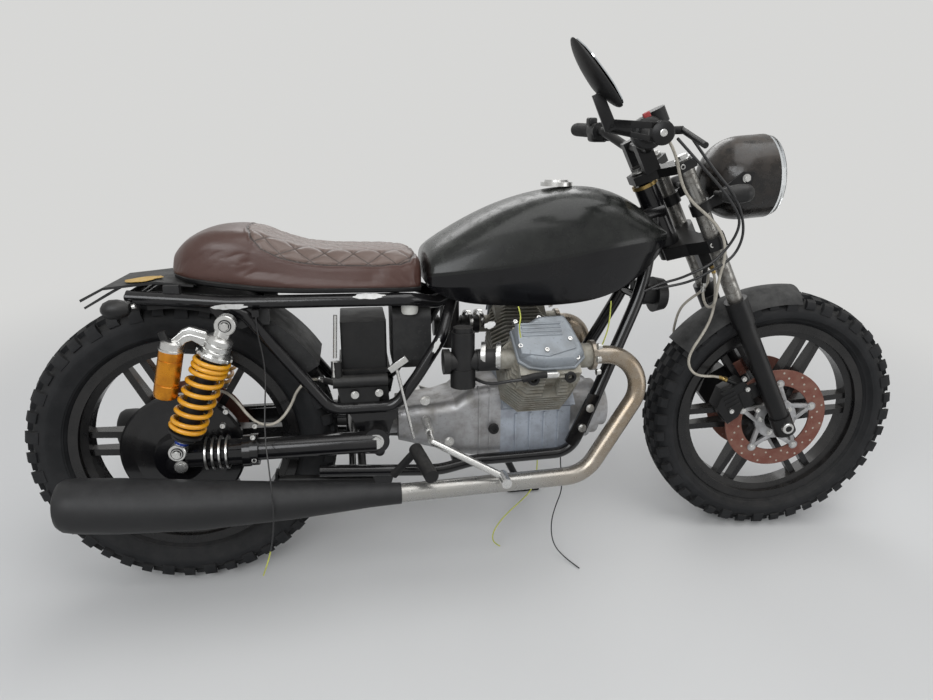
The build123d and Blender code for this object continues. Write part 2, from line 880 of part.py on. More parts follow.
# Final drive: bevel housing round the axle, its spout to the tunnel, axle and lower shock stud
hose_end = (52.0, -64.0, 466.0)
with BuildPart() as final_drive:
    drive_section = [(-50, 0), (-50, 128), (-72, 131), (-78, 126), (-82, 98), (-92, 56), (-116, 50), (-116, 0)]
    with BuildSketch(wheel_section(rear_axle)):
        with BuildLine():
            Polyline(*drive_section, close=True)
        make_face()
    revolve(axis=Axis(rear_axle, (0, 1, 0)))
    for x_rear, x_front, radius in ((20, 134, 28), (134, 149.7, 34)):
        with BuildSketch(station(x_rear)):
            with Locations((-tunnel_y, 345)):
                Circle(radius)
        extrude(amount=x_front - x_rear)
    # Ribs on the spout
    for z in (333, 357):
        with BuildSketch(station(20)):
            with Locations((-tunnel_y - 21, z)):
                Rectangle(16, 6)
        extrude(amount=120)
    # Lug that holds the end of the brake hose
    with BuildSketch(side(-56)):
        with BuildLine():
            Polyline((8, 440), (hose_end[0], 420), (hose_end[0], 476), (16, 480), close=True)
        make_face()
    extrude(amount=16)
    # Axle: nut on the right, spacers, left end
    for y_left, y_right, radius in (
        (124, -151, axle_radius),
        (-115, -143, 21),
        (-143, -151, 15),
        (rear_hub_left + disc_thickness + seat_gap + 35, rear_hub_left + seat_gap, 14),
        (134, 125.3, 17),
        (134, 116, axle_radius),
    ):
        with BuildSketch(side(y_left)):
            with Locations((rear_axle[0], rear_axle[2])):
                Circle(radius)
        extrude(amount=y_left - y_right)
    with BuildSketch(side(-100)):
        with Locations(shock_bottom):
            Circle(9)
    extrude(amount=shock_y + 16 - 100)
    with BuildSketch(side(-100)):
        with Locations((shock_bottom[0], shock_bottom[1] - 6)):
            Circle(20)
    extrude(amount=22)

# Holes through the swingarm for the axle
with BuildPart(mode=Mode.PRIVATE) as axle_hole:
    with BuildSketch(side(140)):
        with Locations((rear_axle[0], rear_axle[2])):
            Circle(axle_radius + running_gap)
    extrude(amount=60)
swingarm.part = swingarm.part - axle_hole.part

# Shock absorbers: eye and body on top, spring, adjuster and eye below, reservoir behind
shock_length = hypot(shock_top[0] - shock_bottom[0], shock_top[1] - shock_bottom[1])
shock_lean = (
    (shock_top[0] - shock_bottom[0]) / shock_length,
    (shock_top[1] - shock_bottom[1]) / shock_length,
)


def shock_plane(hand, drop):
    """Plane square to a shock, this far below its top eye, facing down the shock."""
    x = shock_top[0] - shock_lean[0] * drop
    z = shock_top[1] - shock_lean[1] * drop
    return Plane(
        origin=(x, hand * shock_y, z),
        x_dir=(0, 1, 0),
        z_dir=(-shock_lean[0], 0, -shock_lean[1]),
    )


spring_from = 71.0
spring_to = 239.0
spring_radius = 33.0
spring_wire = 5.0
spring_turns = 8
with BuildPart() as shock_bodies:
    for hand in (-1, 1):
        # drop from, drop to, radius
        for start, end, radius in (
            (0, 30, 15),
            (26, 72, 27),
            (66, 72, 33),
            (70, 242, 20),
            (238, 250, 24),
            (246, 276, 12),
        ):
            with BuildSketch(shock_plane(hand, start)):
                Circle(radius)
            extrude(amount=end - start)
        for (x, z), radius in ((shock_top, 21), (shock_bottom, 18)):
            with BuildSketch(side(hand * (shock_y - 13))):
                with Locations((x, z)):
                    Circle(radius)
            extrude(amount=-hand * 26)
        for x, z in (shock_top, shock_bottom):
            with BuildSketch(side(hand * (shock_y - 30))):
                with Locations((x, z)):
                    Circle(9 + running_gap)
            extrude(amount=-hand * 60, mode=Mode.SUBTRACT)

with BuildPart() as shock_springs:
    for hand in (-1, 1):
        reach = spring_to - spring_from - 2 * spring_wire
        base = shock_plane(hand, spring_from + spring_wire)
        with BuildLine() as coil:
            Helix(
                reach / spring_turns, reach, spring_radius - spring_wire,
                center=base.origin, direction=base.z_dir,
            )
        with BuildSketch(Plane(origin=coil.line @ 0, z_dir=coil.line % 0)):
            RegularPolygon(spring_wire, 6)
        sweep(is_frenet=True)

reservoir_top = (26.0, 602.0)
reservoir_low = (0.0, 488.0)
with BuildPart() as shock_reservoirs:
    length = hypot(reservoir_top[0] - reservoir_low[0], reservoir_top[1] - reservoir_low[1])
    run = (reservoir_low[0] - reservoir_top[0]) / length
    fall = (reservoir_low[1] - reservoir_top[1]) / length
    for hand in (-1, 1):
        for start, end, radius in ((0, 24, 22), (24, length - 8, 24), (length - 8, length, 20)):
            origin = (reservoir_top[0] + run * start, hand * shock_y, reservoir_top[1] + fall * start)
            with BuildSketch(Plane(origin=origin, x_dir=(0, 1, 0), z_dir=(run, 0, fall))):
                Circle(radius)
            extrude(amount=end - start)
        # Bridge from the shock's top body
        with BuildSketch(side(hand * (shock_y - 8))):
            with BuildLine():
                Polyline((26, 600), (60, 622), (92, 602), (84, 586), (62, 600), (30, 582), close=True)
            make_face()
        extrude(amount=-hand * 16)

# Footrests with their hangers, brake pedal on the right and gear lever on the left
with BuildPart() as footrests:
    for hand in (-1, 1):
        for start, end, radius in (
            ((452, 132, 268), (500, 158, 334), 9),
            ((500, 152, 336), (523, 258, 318), 15),
        ):
            first = (start[0], hand * start[1], start[2])
            last = (end[0], hand * end[1], end[2])
            with BuildLine() as path:
                Line(first, last)
            with BuildSketch(Plane(origin=path.line @ 0, z_dir=path.line % 0)):
                Circle(radius)
            sweep()

with BuildPart() as foot_pedals:
    for hand in (-1, 1):
        points = [(532, 148, 372), (532, 186, 366), (672, 228, 297)]
        for ends in (points[:2], points[1:]):
            first = (ends[0][0], hand * ends[0][1], ends[0][2])
            last = (ends[1][0], hand * ends[1][1], ends[1][2])
            with BuildLine() as path:
                Line(first, last)
            with BuildSketch(Plane(origin=path.line @ 0, z_dir=path.line % 0)):
                Circle(8)
            sweep()
        with BuildSketch(side(hand * 222)):
            with Locations((680, 294)):
                Circle(11)
        extrude(amount=-hand * 46)
        with BuildSketch(side(hand * 62)):
            with Locations((532, 372)):
                Circle(10)
        extrude(amount=-hand * 88)

with BuildPart() as horn:
    with BuildSketch(station(1098)):
        with Locations((0, 634)):
            Circle(43)
    extrude(amount=26, taper=12)
    with BuildSketch(station(1066)):
        with Locations((0, 634)):
            Circle(24)
    extrude(amount=32)
    with BuildSketch(station(1044)):
        with Locations((0, 648)):
            Rectangle(20, 44)
    extrude(amount=24)

# Fork: yokes, stanchions, sliders, axle
union_s = 446.0
union_spigot = (31.4, -42, 414.7)
with BuildPart() as lower_yoke:
    with BuildSketch(fork_plane(lower_yoke_s)):
        with BuildLine():
            Polyline(
                (-24, -26), (18, -64), (50, -112), (92, -112),
                (92, -70), (66, -34), (66, 34), (92, 70),
                (92, 112), (50, 112), (18, 64), (-24, 26), close=True,
            )
        make_face()
        for hand in (-1, 1):
            with Locations((fork_offset, hand * leg_y)):
                Circle(27)
        Circle(29)
    extrude(amount=yoke_thickness)
    with BuildSketch(fork_plane(lower_yoke_s)):
        Circle(head_radius)
    extrude(amount=head_low - lower_yoke_s - seat_gap)
    with BuildSketch(fork_plane(lower_yoke_s)):
        Circle(stem_radius)
    extrude(amount=upper_yoke_s + yoke_thickness + 6 - lower_yoke_s)
    # Union under the yoke where three brake hoses meet, its rear spigot sloped to its hose
    with BuildSketch(fork_plane(union_s)):
        with Locations((56, -31)):
            Rectangle(28, 30)
    extrude(amount=lower_yoke_s + 4 - union_s)
    spigot = Vector(*fork_point(*union_spigot))
    spigot_run = Vector(*fork_point(53, -42, 457.5)) - spigot
    with BuildSketch(Plane(origin=spigot, z_dir=spigot_run)):
        Circle(5.5)
    extrude(amount=spigot_run.length)
    with BuildSketch(fork_plane(lower_yoke_s)):
        for hand in (-1, 1):
            with Locations((fork_offset, hand * leg_y)):
                Circle(stanchion_radius + running_gap)
    extrude(amount=yoke_thickness, mode=Mode.SUBTRACT)

upper_thickness = 20.0
with BuildPart() as upper_yoke:
    with BuildSketch(fork_plane(upper_yoke_s)):
        with BuildLine():
            Polyline(
                (-26, -26), (22, -52), (44, -100), (52, -116), (90, -112),
                (92, -70), (46, -26), (46, 26), (92, 70),
                (90, 112), (52, 116), (44, 100), (22, 52), (-26, 26), close=True,
            )
        make_face()
    extrude(amount=upper_thickness)
    with BuildSketch(fork_plane(upper_yoke_s)):
        Circle(stem_radius + running_gap)
        for hand in (-1, 1):
            with Locations((fork_offset, hand * leg_y)):
                Circle(stanchion_radius + running_gap)
    extrude(amount=upper_thickness, mode=Mode.SUBTRACT)
    # Risers that clamp the handlebar
    for hand in (-1, 1):
        with BuildSketch(fork_plane(upper_yoke_s + upper_thickness)):
            with Locations((14, hand * 44)):
                Rectangle(34, 26)
        extrude(amount=70)

bar_s = 770.0
bar_f = 14.0
bar_path = [
    (-26, -bar_end_y, 830),
    (-4, -150, 816),
    (bar_f, -82, bar_s),
    (bar_f, 82, bar_s),
    (-4, 150, 816),
    (-26, bar_end_y, 830),
]
with BuildPart() as handlebar:
    with BuildLine() as path:
        FilletPolyline(*[fork_point(*point) for point in bar_path], radius=[45, 40, 40, 45])
    with BuildSketch(Plane(origin=path.line @ 0, z_dir=path.line % 0)):
        Circle(bar_radius)
    sweep()

with BuildPart(mode=Mode.PRIVATE) as bar_clamp_hole:
    with BuildSketch(Plane(origin=fork_point(bar_f, -70, bar_s), x_dir=(1, 0, 0), z_dir=(0, 1, 0))):
        Circle(bar_radius + running_gap)
    extrude(amount=140)
upper_yoke.part = upper_yoke.part - bar_clamp_hole.part

with BuildPart() as fork_stanchions:
    with BuildSketch(fork_plane(stanchion_bottom)):
        for hand in (-1, 1):
            with Locations((fork_offset, hand * leg_y)):
                Circle(stanchion_radius)
    extrude(amount=stanchion_top - stanchion_bottom)

with BuildPart() as fork_sliders:
    # s from, s to, radius
    for start, end, radius in ((-24, 300, 22.5), (296, slider_top, slider_radius), (-24, 26, 26)):
        with BuildSketch(fork_plane(start)):
            for hand in (-1, 1):
                with Locations((fork_offset, hand * leg_y)):
                    Circle(radius)
        extrude(amount=end - start)
    with BuildSketch(fork_plane(stanchion_bottom - 4)):
        for hand in (-1, 1):
            with Locations((fork_offset, hand * leg_y)):
                Circle(stanchion_radius + running_gap)
    extrude(amount=slider_top - stanchion_bottom + 4, mode=Mode.SUBTRACT)
    # Axle, its spacers and its end cap
    for start, end, radius in (
        (-118, 118, axle_radius),
        (-124, -118, 13),
        (118, 124, 13),
        (-70, -front_hub_half - seat_gap, 14),
        (front_hub_half + seat_gap, 70, 14),
    ):
        with BuildSketch(side(end)):
            with Locations((front_axle[0], front_axle[2])):
                Circle(radius)
        extrude(amount=end - start)

# Front mudguard with its stays to the sliders
with BuildPart() as front_mudguard:
    with BuildSketch(wheel_section(front_axle, 144.0)):
        with BuildLine():
            ThreePointArc((-62, 300), (0, 336), (62, 300))
            Line((62, 300), (59, 299))
            ThreePointArc((59, 299), (0, 333), (-59, 299))
            Line((-59, 299), (-62, 300))
        make_face()
    revolve(axis=Axis(front_axle, (0, 1, 0)), revolution_arc=58)
    # Stays to the sliders
    with BuildSketch(fork_plane(304)):
        for hand in (-1, 1):
            with Locations((fork_offset, hand * 64)):
                Rectangle(30, 12)
    extrude(amount=26)

# Handlebar fittings
with BuildPart() as hand_grips:
    for hand in (-1, 1):
        outer = fork_point(-26, hand * bar_end_y, 830)
        inner = fork_point(-4, hand * 150, 816)
        reach = hypot(outer[0] - inner[0], outer[1] - inner[1], outer[2] - inner[2])
        along = tuple((inner[i] - outer[i]) / reach for i in range(3))
        with BuildSketch(Plane(origin=outer, z_dir=along)):
            Circle(grip_radius)
        extrude(amount=grip_length)
        with BuildSketch(Plane(origin=outer, z_dir=along)):
            Circle(bar_radius + running_gap)
        extrude(amount=grip_length, mode=Mode.SUBTRACT)

with BuildPart() as bar_controls:
    for hand in (-1, 1):
        outer = fork_point(-26, hand * bar_end_y, 830)
        inner = fork_point(-4, hand * 150, 816)
        reach = hypot(outer[0] - inner[0], outer[1] - inner[1], outer[2] - inner[2])
        along = tuple((inner[i] - outer[i]) / reach for i in range(3))
        for start, end, radius in ((grip_length + seat_gap, grip_length + 44, 21),):
            origin = tuple(outer[i] + along[i] * start for i in range(3))
            with BuildSketch(Plane(origin=origin, z_dir=along)):
                Circle(radius)
            extrude(amount=end - start)
        # Lever: perch ahead of the bar and a blade back towards the end
        perch = fork_point(24, hand * 186, 808)
        tip = fork_point(44, hand * 316, 770)
        for first, last, radius in (
            (fork_point(-10, hand * 190, 820), perch, 10),
            (perch, fork_point(50, hand * 214, 796), 8),
            (fork_point(50, hand * 214, 796), tip, 6),
        ):
            with BuildLine() as path:
                Line(first, last)
            with BuildSketch(Plane(origin=path.line @ 0, z_dir=path.line % 0)):
                Circle(radius)
            sweep()
    # Brake fluid reservoir on the right
    with BuildSketch(fork_plane(822)):
        with Locations((26, -176)):
            Circle(20)
    extrude(amount=30)
    for hand in (-1, 1):
        outer = fork_point(-26, hand * bar_end_y, 830)
        inner = fork_point(-4, hand * 150, 816)
        reach = hypot(outer[0] - inner[0], outer[1] - inner[1], outer[2] - inner[2])
        along = tuple((inner[i] - outer[i]) / reach for i in range(3))
        with BuildSketch(Plane(origin=outer, z_dir=along)):
            Circle(bar_radius + running_gap)
        extrude(amount=reach - 8, mode=Mode.SUBTRACT)

# Bar-end mirror on the right: clamp, flat stalk with two knees, pod
mirror_y = -bar_end_y - 9
with BuildPart() as mirror:
    outer = fork_point(-26, -bar_end_y, 830)
    inner = fork_point(-4, -150, 816)
    reach = hypot(outer[0] - inner[0], outer[1] - inner[1], outer[2] - inner[2])
    along = tuple((inner[i] - outer[i]) / reach for i in range(3))
    origin = tuple(outer[i] - along[i] * 0.01 for i in range(3))
    with BuildSketch(Plane(origin=origin, z_dir=tuple(-part for part in along))):
        Circle(16)
    extrude(amount=16)
    with BuildSketch(side(mirror_y)):
        with BuildLine():
            Polyline(
                (984, 1004), (982, 1020), (872, 1030), (848, 1092), (828, 1090),
                (828, 1068), (858, 1016), (866, 1006), close=True,
            )
        make_face()
    extrude(amount=7)
    with BuildSketch(side(mirror_y + 42)):
        with BuildLine():
            Polyline(
                (790, 1172), (812, 1166), (852, 1128), (894, 1062),
                (880, 1050), (866, 1056), (820, 1108), close=True,
            )
        make_face()
    extrude(amount=84)

# Headlamp: shell, rim with lens, bracket ears
lamp_centre = (1335.0, 0.0, 914.0)
lamp_tilt = 5.0
lamp_straight = 56.0
lens_bulge = 19.0
lamp_axis = (cos(radians(lamp_tilt)), 0, sin(radians(lamp_tilt)))


def lamp_section():
    """Half plane through the lamp's axis: sketch x forwards along it, sketch y upwards."""
    return Plane(origin=lamp_centre, x_dir=lamp_axis, z_dir=(0, -1, 0))


with BuildPart() as headlamp_shell:
    with BuildSketch(lamp_section()):
        with BuildLine():
            outer = lamp_radius
            inner = lamp_radius - 4
            Line((0, outer), (-lamp_straight, outer))
            RadiusArc((-lamp_straight, outer), (-lamp_straight - outer, 0), -outer)
            Line((-lamp_straight - outer, 0), (-lamp_straight - inner, 0))
            RadiusArc((-lamp_straight - inner, 0), (-lamp_straight, inner), inner)
            Line((-lamp_straight, inner), (0, inner))
            Line((0, inner), (0, outer))
        make_face()
    revolve(axis=Axis(lamp_centre, lamp_axis))

with BuildPart() as headlamp_lens:
    with BuildSketch(lamp_section()):
        with BuildLine():
            Line((seat_gap, 0), (seat_gap, lamp_radius))
            rim = lamp_radius - 4
            Line((seat_gap, lamp_radius), (14, rim))
            RadiusArc((14, rim), (14 + lens_bulge, 0), (rim**2 + lens_bulge**2) / (2 * lens_bulge))
            Line((14 + lens_bulge, 0), (seat_gap, 0))
        make_face()
    revolve(axis=Axis(lamp_centre, lamp_axis))

with BuildPart() as lamp_bracket:
    for hand in (-1, 1):
        # Clamp on the stanchion, arm to the ear, ear beside the shell
        with BuildSketch(fork_plane(588)):
            with Locations((fork_offset, hand * leg_y)):
                Circle(23)
                Circle(stanchion_radius + running_gap, mode=Mode.SUBTRACT)
        extrude(amount=26)
        with BuildSketch(side(hand * 98)):
            with BuildLine():
                Polyline(
                    fork_point(87, 0, 611)[::2], fork_point(87, 0, 591)[::2],
                    (1262, 892), (1268, 930), (1242, 930), close=True,
                )
            make_face()
        extrude(amount=-hand * 5)
        with BuildSketch(side(hand * 88)):
            with Locations((1255, 912)):
                Circle(8)
        extrude(amount=-hand * 18)

with BuildPart() as front_indicators:
    for hand in (-1, 1):
        with BuildSketch(side(hand * 103.3)):
            with Locations((1222, 884)):
                Circle(6)
        extrude(amount=-hand * 34)
        with BuildSketch(Plane(origin=(1176, hand * 152, 884), x_dir=(0, 1, 0), z_dir=(1, 0, 0))):
            Circle(13)
        with BuildSketch(Plane(origin=(1200, hand * 152, 884), x_dir=(0, 1, 0), z_dir=(1, 0, 0))):
            Circle(20)
        with BuildSketch(Plane(origin=(1246, hand * 152, 884), x_dir=(0, 1, 0), z_dir=(1, 0, 0))):
            Circle(19)
        loft(ruled=True)

# Front calipers: straddle the discs behind the legs, on brackets from the sliders
caliper_slot = disc_thickness + 10.0
with BuildPart() as front_calipers:
    for hand in (-1, 1):
        middle = front_hub_half + disc_thickness / 2
        with BuildSketch(side(hand * (middle - 24))):
            with BuildLine():
                Polyline(
                    fork_point(-52, 0, 60)[::2],
                    fork_point(-62, 0, 112)[::2],
                    fork_point(-30, 0, 146)[::2],
                    fork_point(24, 0, 150)[::2],
                    fork_point(36, 0, 118)[::2],
                    fork_point(-20, 0, 66)[::2],
                    close=True,
                )
            make_face()
        extrude(amount=-hand * 48)
        with BuildSketch(side(hand * (middle - caliper_slot / 2))):
            with Locations((front_axle[0], front_axle[2])):
                Circle(front_disc_radius + 6)
        extrude(amount=-hand * caliper_slot, mode=Mode.SUBTRACT)
        # Lug to the slider, outside the disc
        with BuildSketch(side(hand * 66)):
            with BuildLine():
                Polyline(
                    fork_point(-20, 0, 84)[::2],
                    fork_point(-20, 0, 130)[::2],
                    fork_point(64, 0, 124)[::2],
                    fork_point(64, 0, 96)[::2],
                    close=True,
                )
            make_face()
        extrude(amount=-hand * 12)
        # Union where the brake hose ends
        union_end = Vector(*fork_point(-10, hand * 69, 167))
        union_run = Vector(*fork_point(8, hand * 69, 146)) - union_end
        with BuildSketch(Plane(origin=union_end, z_dir=union_run)):
            Circle(6)
        extrude(amount=union_run.length)

# Side stand on the left rail, and the floor that the leaning machine stands on
lean_sin = sin(radians(lean))
lean_cos = cos(radians(lean))


steer_turn = fork_plane(0).location * Location((0, 0, 0), (0, 0, steer_rest))
steer_turn = steer_turn * fork_plane(0).location.inverse()
lean_turn = Location((0, 0, 0), (-lean, 0, 0))
rear_low = rear_tyre.moved(lean_turn).bounding_box().min.Z
front_low = front_tyre.moved(steer_turn).moved(lean_turn).bounding_box().min.Z


def floor_z(x, y):
    """Height of the floor in the upright frame."""
    return (rear_low + (front_low - rear_low) * x / wheelbase + y * lean_sin) / lean_cos


stand_pivot = (730.0, 112.0, 252.0)
stand_foot = (836.0, 206.0, floor_z(836.0, 206.0))
stand_axis = (0.0, 0.935, 0.355)
stand_arc = 103.0
up = (0.0, -lean_sin, lean_cos)
foot_plane = Plane(origin=stand_foot, x_dir=(1, 0, 0), z_dir=up)
pin_plane = Plane(origin=stand_pivot, x_dir=(1, 0, 0), z_dir=stand_axis)
with BuildPart() as side_stand:
    with BuildLine() as path:
        Line(stand_pivot, tuple(stand_foot[i] + up[i] * 6 for i in range(3)))
    with BuildSketch(Plane(origin=path.line @ 0, z_dir=path.line % 0)):
        Circle(9.5)
    sweep()
    with BuildSketch(pin_plane.offset(-11)):
        Circle(15)
    extrude(amount=22)
    with BuildSketch(foot_plane):
        with Locations((4, 0)):
            RectangleRounded(96, 34, 8)
    extrude(amount=7)
    with BuildSketch(pin_plane.offset(-12)):
        Circle(7 + running_gap)
    extrude(amount=24, mode=Mode.SUBTRACT)

with BuildPart(mode=Mode.PRIVATE) as side_stand_lug:
    for start, end in ((-19, -11.5), (11.5, 19)):
        with BuildSketch(pin_plane.offset(start)):
            Circle(15)
            with Locations((0, -14)):
                Rectangle(30, 28)
        extrude(amount=end - start)
    with BuildSketch(pin_plane.offset(-19)):
        Circle(7)
    extrude(amount=38)
cradle_rails.part = cradle_rails.part + side_stand_lug.part

# Centre stand, folded back under the swingarm
with BuildPart() as centre_stand:
    for hand in (-1, 1):
        with BuildSketch(side(hand * 72)):
            with Locations(stand_pin):
                Circle(13)
        extrude(amount=-hand * 24)
        with BuildLine() as path:
            Line((430, hand * 84, 236), (196, hand * 84, 252))
        with BuildSketch(Plane(origin=path.line @ 0, z_dir=path.line % 0)):
            Circle(11)
        sweep()
        with BuildSketch(Plane(origin=(196, hand * 84, 252), x_dir=(0, 1, 0), z_dir=(-1, 0, 0.07))):
            Rectangle(30, 44)
        extrude(amount=6)
    with BuildSketch(side(84)):
        with Locations((384, 239)):
            Circle(10)
    extrude(amount=168)
    with BuildSketch(side(100)):
        with Locations(stand_pin):
            Circle(6 + running_gap)
    extrude(amount=200, mode=Mode.SUBTRACT)

# Brake hoses: their points, from the pump or the union to the brake
hose_radius = 3.25
rear_hose_points = [
    hose_start, (295, -73, 484), (270, -68, 478), (248, -73, 458), (236, -86, 430),
    (214, -99, 402), (190, -107, 393), (164, -110, 402), (144, -108, 424), (126, -100, 449),
    (106, -84, 464), (82, -64, 466), hose_end,
]
# On the fork: ahead of the steering axis, left of it, along it
upper_hose_rows = [
    (32, -162, 822), (32, -162, 796), (36, -165, 766), (34, -169, 736), (28, -168, 704),
    (28, -163, 672), (36, -155, 642), (50, -145, 614), (65, -138, 586), (77, -132, 556),
    (82, -128, 525), (77, -127, 497), (64, -125, 470), (48, -121, 446), (34, -117, 420),
    (20.6, -116, 393.3), (11.8, -101.9, 376), (8.5, -79, 369.4), (11.8, -56.1, 376),
    (20.6, -42, 393.3), union_spigot,
]
right_hose_rows = [
    (63, -39, union_s), (63, -39, 422), (52, -50, 398), (36, -65, 374), (16, -76, 350),
    (-8, -81, 328), (-34, -82, 309), (-60, -82, 292), (-80, -82, 272), (-86, -82, 246),
    (-76, -80, 222), (-54, -75, 204), (-28, -69, 188), (-10, -69, 167),
]
left_hose_rows = [
    (56, -23, union_s), (56, -23, 420), (47, -14, 396), (28, -2, 380), (2, 9, 372),
    (-22, 18, 360), (-38, 30, 338), (-48, 43, 314), (-54, 60, 292), (-55, 75, 265),
    (-51, 80, 236), (-42, 76, 208), (-28, 69, 188), (-10, 69, 167),
]
rear_hose = cord_tube("rear_brake_hose", rear_hose_points, hose_radius)
upper_hose, right_hose, left_hose = [
    cord_tube(name, [fork_point(*row) for row in rows], hose_radius)
    for name, rows in (
        ("upper_brake_hose", upper_hose_rows),
        ("right_brake_hose", right_hose_rows),
        ("left_brake_hose", left_hose_rows),
    )
]

# Loose wires with free ends: one from the seat frame, two from under the crankcase
wire_radius = 1.5
rear_wire_points = [
    (182, -128.5, wire_clip_z), (182, -128.5, 606), (190, -130, 562), (193, -135, 516),
    (190, -148, 470), (188, -169, 428), (190, -196, 390), (196, -224, 356), (200, -242, 315),
    (202, -248, 271), (199, -247, 227), (192, -242, 184), (182, -236, 144), (168, -229, 106),
]
case_bottom = 262.0
front_wire_points = [
    (862, -64, case_bottom), (862, -64, 232), (868, -65, 196), (868, -66, 158), (855, -65, 120),
    (846, -64, 82), (846, -64, 44), (853, -68, 12), (868, -82, -8), (886, -106, -18),
    (901, -130, -22),
]
middle_wire_points = [
    (806, -56, case_bottom), (806, -56, 232), (805, -57, 196), (792, -57, 160),
    (764, -54, 130), (734, -50, 100), (710, -47, 68), (698, -44, 38), (704, -42, 14),
    (720, -41, 4),
]
rear_wire = cord_tube("rear_wire", rear_wire_points, wire_radius)
front_wire = cord_tube("front_wire", front_wire_points, wire_radius)
middle_wire = cord_tube("middle_wire", middle_wire_points, wire_radius)

nodes = {
    "front_wheel_rim": front_wheel,
    "front_tyre": front_tyre,
    "front_discs": front_discs,
    "rear_wheel_rim": rear_wheel,
    "rear_tyre": rear_tyre,
    "rear_disc": rear_disc,
    "main_frame": main_frame.part,
    "seat_frame": seat_frame.part,
    "cradle_rails": cradle_rails.part,
    "fuel_tank": fuel_tank.part,
    "fuel_cap": fuel_cap.part,
    "seat": seat.part,
    "rear_mudguard": rear_mudguard.part,
    "rear_indicators": rear_indicators.part,
    "crankcase": crankcase.part,
    "timing_cover": timing_cover.part,
    "gearbox": gearbox.part,
    "cylinders": cylinders.part,
    "cylinder_heads": cylinder_heads.part,
    "rocker_covers": rocker_covers.part,
    "carburettors": carburettors.part,
    "airbox": airbox.part,
    "battery": battery.part,
    "rear_master": rear_master.part,
    "headers": headers.part,
    "silencers": silencers.part,
    "swingarm": swingarm.part,
    "final_drive": final_drive.part,
    "shock_bodies": shock_bodies.part,
    "shock_springs": shock_springs.part,
    "shock_reservoirs": shock_reservoirs.part,
    "footrests": footrests.part,
    "foot_pedals": foot_pedals.part,
    "horn": horn.part,
    "lower_yoke": lower_yoke.part,
    "upper_yoke": upper_yoke.part,
    "handlebar": handlebar.part,
    "fork_stanchions": fork_stanchions.part,
    "fork_sliders": fork_sliders.part,
    "front_mudguard": front_mudguard.part,
    "hand_grips": hand_grips.part,
    "bar_controls": bar_controls.part,
    "mirror": mirror.part,
    "headlamp_shell": headlamp_shell.part,
    "headlamp_lens": headlamp_lens.part,
    "lamp_bracket": lamp_bracket.part,
    "front_indicators": front_indicators.part,
    "front_calipers": front_calipers.part,
    "side_stand": side_stand.part,
    "centre_stand": centre_stand.part,
    "rear_brake_hose": rear_hose,
    "upper_brake_hose": upper_hose,
    "right_brake_hose": right_hose,
    "left_brake_hose": left_hose,
    "rear_wire": rear_wire,
    "front_wire": front_wire,
    "middle_wire": middle_wire,
}
# A piece that presses on another is cut to its shape: piece, what it is cut by
trims = [
    ("horn", "main_frame"),
    ("foot_pedals", "gearbox"),
    ("main_frame", "fuel_tank"),
    ("front_calipers", "fork_sliders"),
    ("front_mudguard", "fork_sliders"),
    ("lamp_bracket", "headlamp_shell"),
    ("rear_indicators", "seat_frame"),
    ("cradle_rails", "main_frame"),
    ("main_frame", "seat_frame"),
    ("footrests", "cradle_rails"),
    ("silencers", "headers"),
    ("silencers", "cradle_rails"),
    ("rear_mudguard", "seat_frame"),
    ("shock_reservoirs", "shock_bodies"),
    ("shock_springs", "shock_bodies"),
    ("airbox", "seat_frame"),
    ("battery", "seat_frame"),
    ("rear_master", "seat_frame"),
    ("seat", "seat_frame"),
]
for name, cutter in trims:
    nodes[name] = nodes[name] - nodes[cutter]

# Place everything: steering pieces turn, then all lean over and stand on the floor
steering = {
    "lower_yoke", "upper_yoke", "handlebar", "fork_stanchions", "fork_sliders",
    "front_mudguard", "hand_grips", "bar_controls", "mirror", "headlamp_shell",
    "headlamp_lens", "lamp_bracket", "front_indicators", "front_calipers",
    "front_wheel_rim", "front_tyre", "front_discs",
    "upper_brake_hose", "right_brake_hose", "left_brake_hose",
}
pitch = degrees(atan2(front_low - rear_low, wheelbase))
standing = Location((0, 0, 0), (0, pitch, 0)) * lean_turn
placed = {}
for name, piece in nodes.items():
    if name in steering:
        piece = piece.moved(steer_turn)
    placed[name] = piece.moved(standing)
boxes = [piece.bounding_box() for piece in placed.values()]
middle_x = (min(box.min.X for box in boxes) + max(box.max.X for box in boxes)) / 2
middle_y = (min(box.min.Y for box in boxes) + max(box.max.Y for box in boxes)) / 2
lowest = min(box.min.Z for box in boxes)
onto_floor = Location((-middle_x, -middle_y, -lowest))
for name, piece in placed.items():
    piece = piece.moved(onto_floor)
    piece.label = name
    export_step(piece, f"parts/{name}.step")

# What the record states, in metres
place = onto_floor * standing


def stated(point, steered=False):
    spot = Vector(*point)
    move = place * steer_turn if steered else place
    placed_spot = (move * Location(spot)).position
    return [round(value / 1000, 5) for value in placed_spot]


def heading(direction, steered=False):
    start = stated((0, 0, 0), steered)
    end = stated(tuple(1e6 * part for part in direction), steered)
    return [round((end[i] - start[i]) / 1000, 5) for i in range(3)]


fork_axis = (-head_sin, 0, head_cos)
print("rear_wheel", stated(rear_axle), heading((0, 1, 0)))
print("front_wheel", stated(front_axle, True), heading((0, 1, 0), True))
print("steering", stated(fork_point(0, 0, head_low)), heading(fork_axis))
print("side_stand", stated(stand_pivot), heading(stand_axis))
print("centre_stand", stated((stand_pin[0], 0, stand_pin[1])), heading((0, -1, 0)))
print("origin", stated((0, 0, 0)), "lows", rear_low, front_low, lowest)
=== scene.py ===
import json
from math import atan2, cos, pi, radians, sin, sqrt

import bmesh
import bpy
from mathutils import Matrix, Vector, noise


